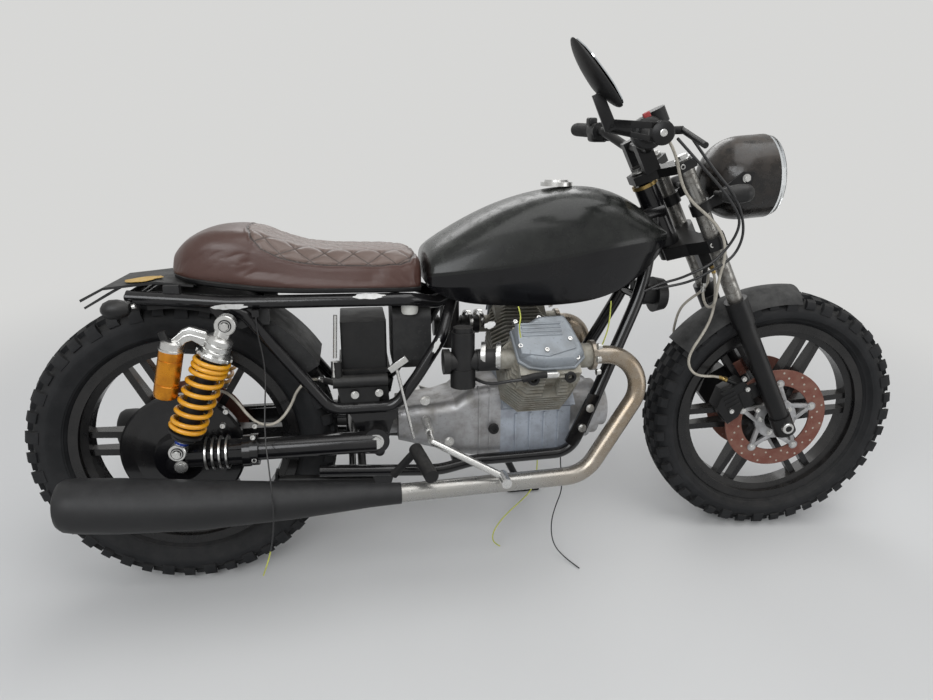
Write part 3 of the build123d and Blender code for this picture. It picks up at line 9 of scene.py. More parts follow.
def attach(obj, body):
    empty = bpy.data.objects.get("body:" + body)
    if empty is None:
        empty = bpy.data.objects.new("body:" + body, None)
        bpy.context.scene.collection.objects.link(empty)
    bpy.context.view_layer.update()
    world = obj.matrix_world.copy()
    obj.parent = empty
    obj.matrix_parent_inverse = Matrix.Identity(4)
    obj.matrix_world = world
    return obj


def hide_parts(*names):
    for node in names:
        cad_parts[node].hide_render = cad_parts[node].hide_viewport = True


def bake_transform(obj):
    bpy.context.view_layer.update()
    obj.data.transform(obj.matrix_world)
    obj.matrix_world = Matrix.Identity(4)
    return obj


# Looks of a cafe racer motorcycle that leans on its side stand.
# Pieces are shaped in the upright motorcycle's own frame, in millimetres: x forward, y left,
# z up, the origin on the ground under the rear axle. A last step leans them with the machine.

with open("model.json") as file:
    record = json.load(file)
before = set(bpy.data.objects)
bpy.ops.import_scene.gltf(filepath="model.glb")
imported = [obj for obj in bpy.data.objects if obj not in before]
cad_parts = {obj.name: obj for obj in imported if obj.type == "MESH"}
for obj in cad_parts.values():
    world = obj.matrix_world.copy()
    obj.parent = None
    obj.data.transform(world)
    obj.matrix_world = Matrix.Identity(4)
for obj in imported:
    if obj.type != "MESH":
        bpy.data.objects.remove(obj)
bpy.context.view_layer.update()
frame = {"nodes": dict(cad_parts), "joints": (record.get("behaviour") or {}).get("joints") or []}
nodes = frame["nodes"]
joints = {joint["name"]: joint for joint in frame["joints"]}

# Stance, the same as the solids'
WHEELBASE = 1434.0
RAKE = radians(27.3)
FORK_OFFSET = 70.0
LEAN = radians(9.5)
STEER_REST = radians(-5.9)
REAR_RADIUS = 331.5
FRONT_RADIUS = 318.0
RIM_RADIUS = 244.5

HEAD_SIN = sin(RAKE)
HEAD_COS = cos(RAKE)
STEER_BASE = Vector((WHEELBASE - FORK_OFFSET * HEAD_COS, 0, FRONT_RADIUS - FORK_OFFSET * HEAD_SIN))
FORK_AXIS = Vector((-HEAD_SIN, 0, HEAD_COS))
FORK_FORWARD = Vector((HEAD_COS, 0, HEAD_SIN))

REAR_AXLE = Vector((0, 0, REAR_RADIUS))
FRONT_AXLE = Vector((WHEELBASE, 0, FRONT_RADIUS))

# From the upright frame in millimetres to the leaning one in metres
lean_turn = Matrix.Rotation(-LEAN, 4, "X")
to_metres = Matrix.Scale(0.001, 4)
rear_axle_at = Vector(joints["rear_wheel_spin"]["pos_m"])
shift = rear_axle_at - lean_turn @ (REAR_AXLE * 0.001)
MACHINE = Matrix.Translation(shift) @ lean_turn @ to_metres
steer_turn = (
    Matrix.Translation(STEER_BASE)
    @ Matrix.Rotation(STEER_REST, 4, FORK_AXIS)
    @ Matrix.Translation(-STEER_BASE)
)
STEERED = MACHINE @ steer_turn

BODY_PLACE = {
    "machine": MACHINE,
    "rear_wheel": MACHINE,
    "side_stand_arm": MACHINE,
    "centre_stand_frame": MACHINE,
    "steering_fork": STEERED,
    "front_wheel": STEERED,
}


def fork_point(f, y, s):
    """Point f ahead of the steering axis, y left of it and s along it."""
    return STEER_BASE + FORK_FORWARD * f + Vector((0, y, 0)) + FORK_AXIS * s


# Helpers for node trees
def node_math(tree, operation, first, second=None, clamp=False):
    """Result of a Math node whose inputs are numbers or sockets."""
    node = tree.nodes.new("ShaderNodeMath")
    node.operation = operation
    node.use_clamp = clamp
    for socket, value in zip(node.inputs, (first, second)):
        if isinstance(value, (int, float)):
            socket.default_value = value
        elif value is not None:
            tree.links.new(value, socket)
    return node.outputs[0]


def node_range(tree, value, low, high, kind="SMOOTHSTEP"):
    """0 at low and 1 at high, smooth or straight between them."""
    node = tree.nodes.new("ShaderNodeMapRange")
    node.interpolation_type = kind
    node.inputs["From Min"].default_value = low
    node.inputs["From Max"].default_value = high
    tree.links.new(value, node.inputs["Value"])
    return node.outputs["Result"]


def node_mix(tree, factor, first, second):
    """Mixed colour of two colours or sockets."""
    node = tree.nodes.new("ShaderNodeMix")
    node.data_type = "RGBA"
    tree.links.new(factor, node.inputs["Factor"])
    for socket, value in zip((node.inputs[6], node.inputs[7]), (first, second)):
        if isinstance(value, tuple):
            socket.default_value = (*value, 1)
        else:
            tree.links.new(value, socket)
    return node.outputs[2]


def node_noise(tree, coords, scale, detail, roughness=0.5):
    """Noise whose scale is a number or a socket."""
    node = tree.nodes.new("ShaderNodeTexNoise")
    node.inputs["Detail"].default_value = detail
    node.inputs["Roughness"].default_value = roughness
    tree.links.new(coords, node.inputs["Vector"])
    if isinstance(scale, (int, float)):
        node.inputs["Scale"].default_value = scale
    else:
        tree.links.new(scale, node.inputs["Scale"])
    return node.outputs["Fac"]


def group_socket(group, name, way, kind, value=None):
    socket = group.interface.new_socket(name=name, in_out=way, socket_type=kind)
    if value is not None:
        socket.default_value = value


def make_finish_group():
    """Colour, roughness and normal of a worn surface: patches, specks, dust on top and grain."""
    group = bpy.data.node_groups.new("worn_surface", "ShaderNodeTree")
    for name, kind, value in (
        ("Base", "NodeSocketColor", (0.5, 0.5, 0.5, 1)),
        ("Second", "NodeSocketColor", (0.3, 0.3, 0.3, 1)),
        ("Dust", "NodeSocketColor", (0.3, 0.28, 0.25, 1)),
        ("Patch Scale", "NodeSocketFloat", 12.0),
        ("Patch Amount", "NodeSocketFloat", 0.5),
        ("Speck Amount", "NodeSocketFloat", 0.2),
        ("Dust Amount", "NodeSocketFloat", 0.3),
        ("Smooth", "NodeSocketFloat", 0.3),
        ("Rough", "NodeSocketFloat", 0.6),
        ("Grain Scale", "NodeSocketFloat", 400.0),
        ("Grain Strength", "NodeSocketFloat", 0.1),
        ("Grain Depth", "NodeSocketFloat", 0.0003),
    ):
        group_socket(group, name, "INPUT", kind, value)
    group_socket(group, "Color", "OUTPUT", "NodeSocketColor")
    group_socket(group, "Roughness", "OUTPUT", "NodeSocketFloat")
    group_socket(group, "Normal", "OUTPUT", "NodeSocketVector")
    make = group.nodes.new
    link = group.links.new
    inputs = make("NodeGroupInput").outputs
    outputs = make("NodeGroupOutput").inputs
    coords = make("ShaderNodeTexCoord").outputs["Object"]

    patch_noise = node_noise(group, coords, inputs["Patch Scale"], 6, 0.62)
    patches = node_range(group, patch_noise, 0.42, 0.68, "LINEAR")
    specks = node_range(group, node_noise(group, coords, 160, 3), 0.58, 0.72, "LINEAR")
    patch_mask = node_math(group, "MULTIPLY", patches, inputs["Patch Amount"])
    speck_mask = node_math(group, "MULTIPLY", specks, inputs["Speck Amount"])
    worn = node_math(group, "MAXIMUM", patch_mask, speck_mask)
    tone = node_mix(group, worn, inputs["Base"], inputs["Second"])

    # Dust lies where the surface faces up
    geometry = make("ShaderNodeNewGeometry")
    split = make("ShaderNodeSeparateXYZ")
    link(geometry.outputs["Normal"], split.inputs[0])
    facing_up = node_range(group, split.outputs["Z"], 0.1, 1.0, "LINEAR")
    dust_spread = node_range(group, node_noise(group, coords, 38, 8, 0.7), 0.3, 0.7, "LINEAR")
    lying = node_math(group, "MULTIPLY", facing_up, dust_spread)
    dust_mask = node_math(group, "MULTIPLY", lying, inputs["Dust Amount"], clamp=True)
    link(node_mix(group, dust_mask, tone, inputs["Dust"]), outputs["Color"])

    gloss = make("ShaderNodeMix")
    gloss.data_type = "FLOAT"
    link(worn, gloss.inputs["Factor"])
    link(inputs["Smooth"], gloss.inputs[2])
    link(inputs["Rough"], gloss.inputs[3])
    dust_dull = node_math(group, "MULTIPLY", dust_mask, 0.9)
    link(node_math(group, "MAXIMUM", gloss.outputs[0], dust_dull, clamp=True), outputs["Roughness"])

    bump = make("ShaderNodeBump")
    link(node_noise(group, coords, inputs["Grain Scale"], 4), bump.inputs["Height"])
    link(inputs["Grain Strength"], bump.inputs["Strength"])
    link(inputs["Grain Depth"], bump.inputs["Distance"])
    link(bump.outputs["Normal"], outputs["Normal"])
    return group


worn_surface = make_finish_group()


def finish_material(name, metallic=0.0, coat=0.0, coat_roughness=0.1, specular=0.5, **values):
    """A material whose colour, roughness and grain come from the worn surface group."""
    material = bpy.data.materials.new(name)
    material.use_nodes = True
    tree = material.node_tree
    shader = tree.nodes["Principled BSDF"]
    shader.inputs["Metallic"].default_value = metallic
    shader.inputs["Coat Weight"].default_value = coat
    shader.inputs["Coat Roughness"].default_value = coat_roughness
    shader.inputs["Specular IOR Level"].default_value = specular
    worn = tree.nodes.new("ShaderNodeGroup")
    worn.node_tree = worn_surface
    worn.label = "surface"
    for key, value in values.items():
        socket = worn.inputs[key.replace("_", " ").title()]
        socket.default_value = (*value, 1) if isinstance(value, tuple) else value
    tree.links.new(worn.outputs["Color"], shader.inputs["Base Color"])
    tree.links.new(worn.outputs["Roughness"], shader.inputs["Roughness"])
    tree.links.new(worn.outputs["Normal"], shader.inputs["Normal"])
    return material


DUST = (0.2, 0.19, 0.17)
MATERIALS = {
    "gloss_black": finish_material(
        "gloss_black_paint", coat=0.25, specular=0.3, base=(0.004, 0.004, 0.005),
        second=(0.015, 0.014, 0.013), dust=(0.08, 0.076, 0.07),
        patch_scale=9.0, patch_amount=0.35, speck_amount=0.3, dust_amount=0.2,
        smooth=0.16, rough=0.5, grain_scale=300.0, grain_strength=0.05,
    ),
    "satin_black": finish_material(
        "satin_black_paint", specular=0.25, base=(0.006, 0.006, 0.0065), second=(0.018, 0.017, 0.016),
        dust=(0.08, 0.076, 0.07),
        patch_scale=14.0, patch_amount=0.3, speck_amount=0.3, dust_amount=0.35, smooth=0.34, rough=0.6,
        grain_scale=500.0, grain_strength=0.15,
    ),
    "wheel_black": finish_material(
        "wheel_black_paint", coat=0.2, specular=0.3, base=(0.005, 0.005, 0.0055), second=(0.02, 0.018, 0.017),
        dust=(0.09, 0.083, 0.075),
        patch_scale=22.0, patch_amount=0.4, speck_amount=0.4, dust_amount=0.5, smooth=0.25, rough=0.55,
        grain_scale=350.0, grain_strength=0.1,
    ),
    "tank_upper": finish_material(
        "tank_upper_panel", coat=0.12, specular=0.28, base=(0.006, 0.0065, 0.0065),
        second=(0.012, 0.0125, 0.0115), dust=(0.04, 0.043, 0.037),
        patch_scale=5.0, patch_amount=0.5, speck_amount=0.15, dust_amount=0.7,
        smooth=0.24, rough=0.4, grain_scale=220.0, grain_strength=0.04,
    ),
    "tank_lower": finish_material(
        "tank_lower_panel", coat=0.15, specular=0.25, base=(0.004, 0.004, 0.005), second=(0.01, 0.01, 0.0105),
        dust=(0.04, 0.04, 0.038),
        patch_scale=9.0, patch_amount=0.4, speck_amount=0.2, dust_amount=0.3, smooth=0.2, rough=0.45,
        grain_scale=220.0, grain_strength=0.05,
    ),
    "cast_alloy": finish_material(
        "cast_alloy", metallic=0.75, base=(0.4, 0.4, 0.41), second=(0.2, 0.19, 0.175), dust=(0.3, 0.27, 0.22),
        patch_scale=24.0, patch_amount=0.75, speck_amount=0.5, dust_amount=0.3, smooth=0.42, rough=0.68,
        grain_scale=700.0, grain_strength=0.35, grain_depth=0.0006,
    ),
    "fin_alloy": finish_material(
        "fin_alloy", metallic=0.6, base=(0.36, 0.35, 0.31), second=(0.2, 0.18, 0.14), dust=(0.27, 0.24, 0.19),
        patch_scale=30.0, patch_amount=0.8, speck_amount=0.5, dust_amount=0.4, smooth=0.5, rough=0.75,
        grain_scale=700.0, grain_strength=0.35, grain_depth=0.0006,
    ),
    "cover_alloy": finish_material(
        "cover_alloy", metallic=0.45, base=(0.26, 0.285, 0.31), second=(0.17, 0.175, 0.18),
        dust=(0.2, 0.2, 0.19), patch_scale=26.0,
        patch_amount=0.5, speck_amount=0.6, dust_amount=0.3, smooth=0.5, rough=0.7,
        grain_scale=650.0, grain_strength=0.3, grain_depth=0.0005,
    ),
    "sump_alloy": finish_material(
        "sump_alloy", metallic=0.6, base=(0.42, 0.46, 0.52), second=(0.25, 0.26, 0.29),
        dust=(0.3, 0.28, 0.25), patch_scale=28.0,
        patch_amount=0.7, speck_amount=0.5, dust_amount=0.2, smooth=0.42, rough=0.65,
        grain_scale=700.0, grain_strength=0.35, grain_depth=0.0006,
    ),
    "bright_steel": finish_material(
        "bright_steel", metallic=0.95, base=(0.6, 0.6, 0.59), second=(0.35, 0.33, 0.3), dust=DUST,
        patch_scale=40.0, patch_amount=0.4, speck_amount=0.5, dust_amount=0.2, smooth=0.25, rough=0.5,
        grain_scale=500.0, grain_strength=0.1,
    ),
    "fork_chrome": finish_material(
        "pitted_chrome", metallic=0.8, base=(0.26, 0.255, 0.24), second=(0.06, 0.05, 0.042), dust=DUST,
        patch_scale=60.0, patch_amount=0.75, speck_amount=0.9, dust_amount=0.2, smooth=0.22, rough=0.6,
        grain_scale=300.0, grain_strength=0.3,
    ),
    "silencer_black": finish_material(
        "silencer_heat_paint", specular=0.3, base=(0.012, 0.012, 0.0125), second=(0.022, 0.022, 0.023),
        dust=(0.05, 0.05, 0.05), patch_scale=12.0, patch_amount=0.5, speck_amount=0.4, dust_amount=0.4,
        smooth=0.5, rough=0.66, grain_scale=900.0, grain_strength=0.25,
    ),
    "tyre": finish_material(
        "tyre_rubber", specular=0.25, base=(0.009, 0.0095, 0.0105), second=(0.028, 0.028, 0.029),
        dust=(0.08, 0.075, 0.068), patch_scale=16.0, patch_amount=0.55, speck_amount=0.3, dust_amount=0.35,
        smooth=0.68, rough=0.88, grain_scale=450.0, grain_strength=0.25,
    ),
    "rubber": finish_material(
        "black_rubber", specular=0.25, base=(0.009, 0.009, 0.0095), second=(0.025, 0.024, 0.023),
        dust=(0.08, 0.076, 0.07),
        patch_scale=20.0, patch_amount=0.4, speck_amount=0.3, dust_amount=0.5, smooth=0.6, rough=0.85,
        grain_scale=500.0, grain_strength=0.2,
    ),
    "plastic": finish_material(
        "black_plastic", specular=0.3, base=(0.007, 0.007, 0.0075), second=(0.02, 0.0195, 0.018),
        dust=(0.08, 0.076, 0.07),
        patch_scale=20.0, patch_amount=0.4, speck_amount=0.35, dust_amount=0.5, smooth=0.4, rough=0.65,
        grain_scale=800.0, grain_strength=0.25,
    ),
    "dusty_plastic": finish_material(
        "dusty_black_plastic", specular=0.3, base=(0.01, 0.01, 0.0105), second=(0.035, 0.035, 0.034),
        dust=(0.085, 0.084, 0.08), patch_scale=26.0, patch_amount=0.7, speck_amount=0.9, dust_amount=0.9,
        smooth=0.55, rough=0.85, grain_scale=500.0, grain_strength=0.4, grain_depth=0.0006,
    ),
    "lamp_shell": finish_material(
        "mottled_lamp_shell", coat=0.2, specular=0.35, base=(0.006, 0.0055, 0.0055),
        second=(0.02, 0.015, 0.012), dust=(0.05, 0.037, 0.027),
        patch_scale=30.0, patch_amount=0.8, speck_amount=0.8, dust_amount=0.85,
        smooth=0.16, rough=0.6, grain_scale=250.0, grain_strength=0.25,
    ),
    "disc_rust": finish_material(
        "rusty_disc", metallic=0.3, base=(0.155, 0.052, 0.036), second=(0.23, 0.12, 0.09),
        dust=(0.25, 0.14, 0.1), patch_scale=35.0, patch_amount=0.8, speck_amount=0.6, dust_amount=0.3,
        smooth=0.55, rough=0.85, grain_scale=600.0, grain_strength=0.3,
    ),
    "spring_yellow": finish_material(
        "spring_yellow_paint", coat=0.3, base=(0.72, 0.33, 0.008), second=(0.5, 0.2, 0.01),
        dust=(0.35, 0.25, 0.12), patch_scale=25.0, patch_amount=0.35, speck_amount=0.25, dust_amount=0.25,
        smooth=0.25, rough=0.5, grain_scale=300.0, grain_strength=0.05,
    ),
    "anodised_amber": finish_material(
        "anodised_amber", metallic=0.85, base=(0.62, 0.25, 0.02), second=(0.28, 0.09, 0.012),
        dust=DUST, patch_scale=30.0, patch_amount=0.6, speck_amount=0.3, dust_amount=0.15,
        smooth=0.25, rough=0.45, grain_scale=500.0, grain_strength=0.05,
    ),
    "brass": finish_material(
        "tarnished_brass", metallic=0.9, base=(0.4, 0.28, 0.1), second=(0.15, 0.11, 0.06), dust=DUST,
        patch_scale=60.0, patch_amount=0.6, speck_amount=0.4, dust_amount=0.2, smooth=0.3, rough=0.6,
        grain_scale=500.0, grain_strength=0.1,
    ),
    "hose_grey": finish_material(
        "hose_grey", base=(0.42, 0.39, 0.33), second=(0.22, 0.2, 0.16), dust=DUST,
        patch_scale=50.0, patch_amount=0.6, speck_amount=0.6, dust_amount=0.2, smooth=0.4, rough=0.65,
        grain_scale=900.0, grain_strength=0.3,
    ),
    "cable_black": finish_material(
        "cable_black", base=(0.01, 0.01, 0.011), second=(0.04, 0.04, 0.04), dust=DUST,
        patch_scale=50.0, patch_amount=0.3, speck_amount=0.2, dust_amount=0.2, smooth=0.32, rough=0.6,
        grain_scale=900.0, grain_strength=0.1,
    ),
    "yellow_green": finish_material(
        "yellow_green_wire", base=(0.5, 0.52, 0.08), second=(0.2, 0.28, 0.05), dust=DUST,
        patch_scale=80.0, patch_amount=0.5, speck_amount=0.3, dust_amount=0.1, smooth=0.4, rough=0.6,
        grain_scale=900.0, grain_strength=0.1,
    ),
    "white_cap": finish_material(
        "white_plastic", base=(0.62, 0.62, 0.58), second=(0.4, 0.38, 0.33), dust=DUST,
        patch_scale=40.0, patch_amount=0.5, speck_amount=0.4, dust_amount=0.4, smooth=0.4, rough=0.6,
        grain_scale=500.0, grain_strength=0.1,
    ),
    "blue_ring": finish_material(
        "anodised_blue", metallic=0.8, base=(0.02, 0.05, 0.28), second=(0.02, 0.03, 0.1), dust=DUST,
        patch_scale=40.0, patch_amount=0.4, speck_amount=0.2, dust_amount=0.1, smooth=0.3, rough=0.5,
        grain_scale=500.0, grain_strength=0.05,
    ),
    "red_cap": finish_material(
        "red_plastic", base=(0.3, 0.03, 0.03), second=(0.15, 0.02, 0.02), dust=DUST,
        patch_scale=40.0, patch_amount=0.4, speck_amount=0.2, dust_amount=0.2, smooth=0.35, rough=0.5,
        grain_scale=500.0, grain_strength=0.05,
    ),
    "mustard": finish_material(
        "mustard_patch", base=(0.55, 0.36, 0.1), second=(0.4, 0.24, 0.06), dust=(0.4, 0.32, 0.18),
        patch_scale=50.0, patch_amount=0.7, speck_amount=0.5, dust_amount=0.2, smooth=0.6, rough=0.85,
        grain_scale=500.0, grain_strength=0.3,
    ),
}
M = MATERIALS


def gradient_material(name, source, low_color, high_color, low, high, metallic, axis="X"):
    """A worn finish whose base colour changes along an axis between two places, in metres."""
    material = source.copy()
    material.name = name
    tree = material.node_tree
    worn = next(node for node in tree.nodes if node.type == "GROUP")
    coords = tree.nodes.new("ShaderNodeTexCoord")
    split = tree.nodes.new("ShaderNodeSeparateXYZ")
    tree.links.new(coords.outputs["Object"], split.inputs[0])
    factor = node_range(tree, split.outputs[axis], low, high, "LINEAR")
    tree.links.new(node_mix(tree, factor, low_color, high_color), worn.inputs["Base"])
    tree.nodes["Principled BSDF"].inputs["Metallic"].default_value = metallic
    return material


def plain_material(name, values):
    material = bpy.data.materials.new(name)
    material.use_nodes = True
    shader = material.node_tree.nodes["Principled BSDF"]
    for key, value in values.items():
        shader.inputs[key].default_value = value
    return material


M["glass"] = plain_material("lamp_glass", {
    "Base Color": (0.85, 0.88, 0.9, 1), "Roughness": 0.06, "IOR": 1.45, "Transmission Weight": 1.0,
})
M["mirror"] = plain_material("mirror_glass", {
    "Base Color": (0.6, 0.63, 0.65, 1), "Metallic": 1.0, "Roughness": 0.05,
})

# Seat leather: side of a diamond of the quilting, and the colours of leather, panel and thread
DIAMOND = 59.0
LEATHER = (0.06, 0.026, 0.02)
LEATHER_WORN = (0.085, 0.046, 0.038)
PANEL = (0.125, 0.085, 0.07)
PANEL_WORN = (0.16, 0.115, 0.098)
THREAD = (0.018, 0.01, 0.008)
THREAD_WORN = (0.02, 0.011, 0.009)


def leather_material():
    """Brown leather: a paler quilted panel with dark stitched lines, darker seams, pores and wear."""
    material = finish_material(
        "brown_leather", coat=0.1, coat_roughness=0.35, specular=0.4, base=LEATHER,
        second=LEATHER_WORN, dust=(0.1, 0.075, 0.062), patch_scale=7.0, patch_amount=0.55,
        speck_amount=0.1, dust_amount=0.4, smooth=0.36, rough=0.56, grain_scale=260.0,
        grain_strength=0.25, grain_depth=0.0005,
    )
    tree = material.node_tree
    shader = tree.nodes["Principled BSDF"]
    worn = next(node for node in tree.nodes if node.type == "GROUP")
    inside = tree.nodes.new("ShaderNodeAttribute")
    inside.attribute_name = "inside_panel"
    depth = inside.outputs["Fac"]
    seat_map = tree.nodes.new("ShaderNodeUVMap")
    seat_map.uv_map = "seat_map"
    split = tree.nodes.new("ShaderNodeSeparateXYZ")
    tree.links.new(seat_map.outputs[0], split.inputs[0])
    cell = 0.001 * DIAMOND
    gaps = []
    for operation in ("ADD", "SUBTRACT"):
        total = node_math(tree, operation, split.outputs["X"], split.outputs["Y"])
        step = node_math(tree, "DIVIDE", total, cell)
        part = node_math(tree, "FRACT", node_math(tree, "ADD", step, 100.5))
        gaps.append(node_math(tree, "ABSOLUTE", node_math(tree, "SUBTRACT", part, 0.5)))
    gap = node_math(tree, "MINIMUM", gaps[0], gaps[1])
    stitch = node_math(tree, "SUBTRACT", 1.0, node_range(tree, gap, 0.02, 0.055))
    panel = node_range(tree, depth, -0.0005, 0.0005)
    stitch = node_math(tree, "MULTIPLY", stitch, panel)
    seam_gap = node_math(tree, "ABSOLUTE", depth)
    seam = node_math(tree, "SUBTRACT", 1.0, node_range(tree, seam_gap, 0.0012, 0.0034))
    dark = node_math(tree, "MAXIMUM", node_math(tree, "MULTIPLY", stitch, 0.72), seam)
    base = node_mix(tree, panel, LEATHER, PANEL)
    tree.links.new(node_mix(tree, dark, base, THREAD), worn.inputs["Base"])
    second = node_mix(tree, panel, LEATHER_WORN, PANEL_WORN)
    tree.links.new(node_mix(tree, dark, second, THREAD_WORN), worn.inputs["Second"])
    coords = tree.nodes.new("ShaderNodeTexCoord")
    pores = tree.nodes.new("ShaderNodeTexVoronoi")
    pores.feature = "DISTANCE_TO_EDGE"
    pores.inputs["Scale"].default_value = 420
    tree.links.new(coords.outputs["Object"], pores.inputs["Vector"])
    bump = tree.nodes.new("ShaderNodeBump")
    bump.inputs["Strength"].default_value = 0.2
    bump.inputs["Distance"].default_value = 0.0004
    tree.links.new(pores.outputs["Distance"], bump.inputs["Height"])
    tree.links.new(worn.outputs["Normal"], bump.inputs["Normal"])
    tree.links.new(bump.outputs["Normal"], shader.inputs["Normal"])
    return material


M["leather"] = leather_material()
M["header"] = gradient_material(
    "header_heat_tint", M["bright_steel"], (0.34, 0.335, 0.32), (0.27, 0.215, 0.155), 0.02, 0.25, 0.75
)
# White finish of the torn tag, also used for the painted highlights on the frame tubes
M["white_tag_and_highlight"] = finish_material(
    "white_tag_and_painted_highlight", base=(0.72, 0.72, 0.7), second=(0.45, 0.44, 0.4), dust=DUST, patch_scale=60.0,
    patch_amount=0.5, speck_amount=0.6, dust_amount=0.2, smooth=0.5, rough=0.7,
)


# Mesh helpers. Every shape is made in millimetres in the upright frame
def shape():
    return bmesh.new()


def placed(origin, x_dir, z_dir):
    """Matrix of a plane from its origin, sketch x and normal."""
    z_axis = Vector(z_dir).normalized()
    x_axis = Vector(x_dir)
    x_axis = (x_axis - z_axis * x_axis.dot(z_axis)).normalized()
    y_axis = z_axis.cross(x_axis)
    matrix = Matrix((x_axis, y_axis, z_axis)).transposed().to_4x4()
    matrix.translation = Vector(origin)
    return matrix


def facing(origin, z_dir):
    """Plane with this normal and any sketch x."""
    z_axis = Vector(z_dir).normalized()
    helper = Vector((0, 0, 1)) if abs(z_axis.z) < 0.9 else Vector((1, 0, 0))
    return placed(origin, helper.cross(z_axis), z_axis)


def side(y):
    """Plane at y that faces right: sketch x forward."""
    return placed((0, y, 0), (1, 0, 0), (0, -1, 0))


def rod(bm, start, end, radius, segments=20):
    """Round bar between two points."""
    start, end = Vector(start), Vector(end)
    matrix = facing((start + end) / 2, end - start)
    bmesh.ops.create_cone(
        bm, cap_ends=True, segments=segments, radius1=radius, radius2=radius, depth=(end - start).length,
        matrix=matrix,
    )


def block(bm, size, matrix, bevel=0.0, segments=2):
    """Box with rounded edges, centred on the matrix."""
    made = bmesh.ops.create_cube(bm, size=1.0, matrix=matrix @ Matrix.Diagonal((*size, 1)))
    verts = made["verts"]
    if bevel:
        edges = list({edge for vert in verts for edge in vert.link_edges})
        bmesh.ops.bevel(
            bm, geom=edges, offset=bevel, segments=segments, affect="EDGES", profile=0.5, material=-1
        )
    return verts


def plate(bm, outline, matrix, thickness, bevel=0.0, segments=2):
    """Flat piece from an outline in a plane, thick along the plane's normal."""
    verts = [bm.verts.new(matrix @ Vector((x, y, 0))) for x, y in outline]
    face = bm.faces.new(verts)
    made = bmesh.ops.extrude_face_region(bm, geom=[face])
    new_verts = [item for item in made["geom"] if isinstance(item, bmesh.types.BMVert)]
    normal = matrix.to_3x3() @ Vector((0, 0, 1))
    bmesh.ops.translate(bm, verts=new_verts, vec=normal.normalized() * thickness)
    all_verts = verts + new_verts
    faces = list({f for vert in all_verts for f in vert.link_faces})
    bmesh.ops.recalc_face_normals(bm, faces=faces)
    if bevel:
        edges = list({edge for vert in all_verts for edge in vert.link_edges})
        bmesh.ops.bevel(
            bm, geom=edges, offset=bevel, segments=segments, affect="EDGES", profile=0.5, material=-1
        )
    return all_verts


def lathe(bm, profile, matrix, steps=48, closed=False):
    """Turned piece: profile points are (radius, height) about the plane's normal."""
    centre = matrix.translation
    axis = (matrix.to_3x3() @ Vector((0, 0, 1))).normalized()
    verts = [bm.verts.new(matrix @ Vector((radius, 0, height))) for radius, height in profile]
    edges = [bm.edges.new(pair) for pair in zip(verts, verts[1:])]
    if closed:
        edges.append(bm.edges.new((verts[-1], verts[0])))
    bmesh.ops.spin(
        bm, geom=verts + edges, cent=centre, axis=axis, angle=2 * pi, steps=steps, use_merge=True,
        use_normal_flip=False, use_duplicate=False,
    )
    bmesh.ops.remove_doubles(bm, verts=bm.verts, dist=0.005)


def bridge_rings(bm, rings):
    """Skin through closed rings of points with the same count."""
    loops = []
    edges = []
    for ring in rings:
        verts = [bm.verts.new(point) for point in ring]
        loops.append(verts)
        edges.append([bm.edges.new(pair) for pair in zip(verts, verts[1:] + verts[:1])])
    for first, second in zip(edges, edges[1:]):
        bmesh.ops.bridge_loops(bm, edges=first + second)
    bm.faces.new(list(reversed(loops[0])))
    bm.faces.new(loops[-1])
    bmesh.ops.recalc_face_normals(bm, faces=bm.faces)
    return loops


def hexagon_bolt(bm, at, normal, radius, height):
    """Hexagon head on a washer, standing on a surface."""
    normal = Vector(normal).normalized()
    at = Vector(at)
    rod(bm, at - normal, at + normal * 1.6, radius * 1.25, 16)
    rod(bm, at, at + normal * height, radius, 6)
    rod(bm, at, at + normal * (height + 0.8), radius * 0.72, 12)


def socket_bolt(bm, at, normal, radius, height):
    """Round head with a socket."""
    normal = Vector(normal).normalized()
    at = Vector(at)
    matrix = facing(at, normal)
    rim = radius * 0.55
    lathe(bm, [
        (0.01, height * 0.4), (rim, height * 0.4), (rim, height), (radius * 0.9, height),
        (radius, height * 0.8), (radius, -2),
    ], matrix, steps=12)


def finish_piece(bm, name, body, material, replaces=(), smooth=35.0, modifiers=()):
    """Turns a shape into a piece of the machine, in its place, riding on its body."""
    bmesh.ops.transform(bm, matrix=BODY_PLACE[body], verts=bm.verts)
    bmesh.ops.recalc_face_normals(bm, faces=bm.faces)
    limit = radians(smooth)
    for face in bm.faces:
        face.smooth = True
    for edge in bm.edges:
        if len(edge.link_faces) == 2:
            edge.smooth = edge.calc_face_angle(0) < limit
    mesh = bpy.data.meshes.new(name)
    bm.to_mesh(mesh)
    bm.free()
    piece = bpy.data.objects.new(name, mesh)
    bpy.context.scene.collection.objects.link(piece)
    for each in material if isinstance(material, (list, tuple)) else [material]:
        mesh.materials.append(each)
    for kind, values in modifiers:
        modifier = piece.modifiers.new(kind.lower(), kind)
        for key, value in values.items():
            setattr(modifier, key, value)
    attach(piece, body)
    if replaces:
        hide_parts(*replaces)
    return piece


def round_curve(name, spots, radius, segments, smoothness):
    """Curve of a round wire through spots of the row frame."""
    curve = bpy.data.curves.new(name, "CURVE")
    curve.dimensions = "3D"
    curve.bevel_depth = radius * 0.001
    curve.bevel_resolution = segments
    curve.resolution_u = smoothness
    curve.use_fill_caps = True
    spline = curve.splines.new("NURBS")
    spline.points.add(len(spots) - 1)
    for target, spot in zip(spline.points, spots):
        target.co = (*spot, 1)
    spline.order_u = 3
    spline.use_endpoint_u = True
    piece = bpy.data.objects.new(name, curve)
    bpy.context.scene.collection.objects.link(piece)
    return piece


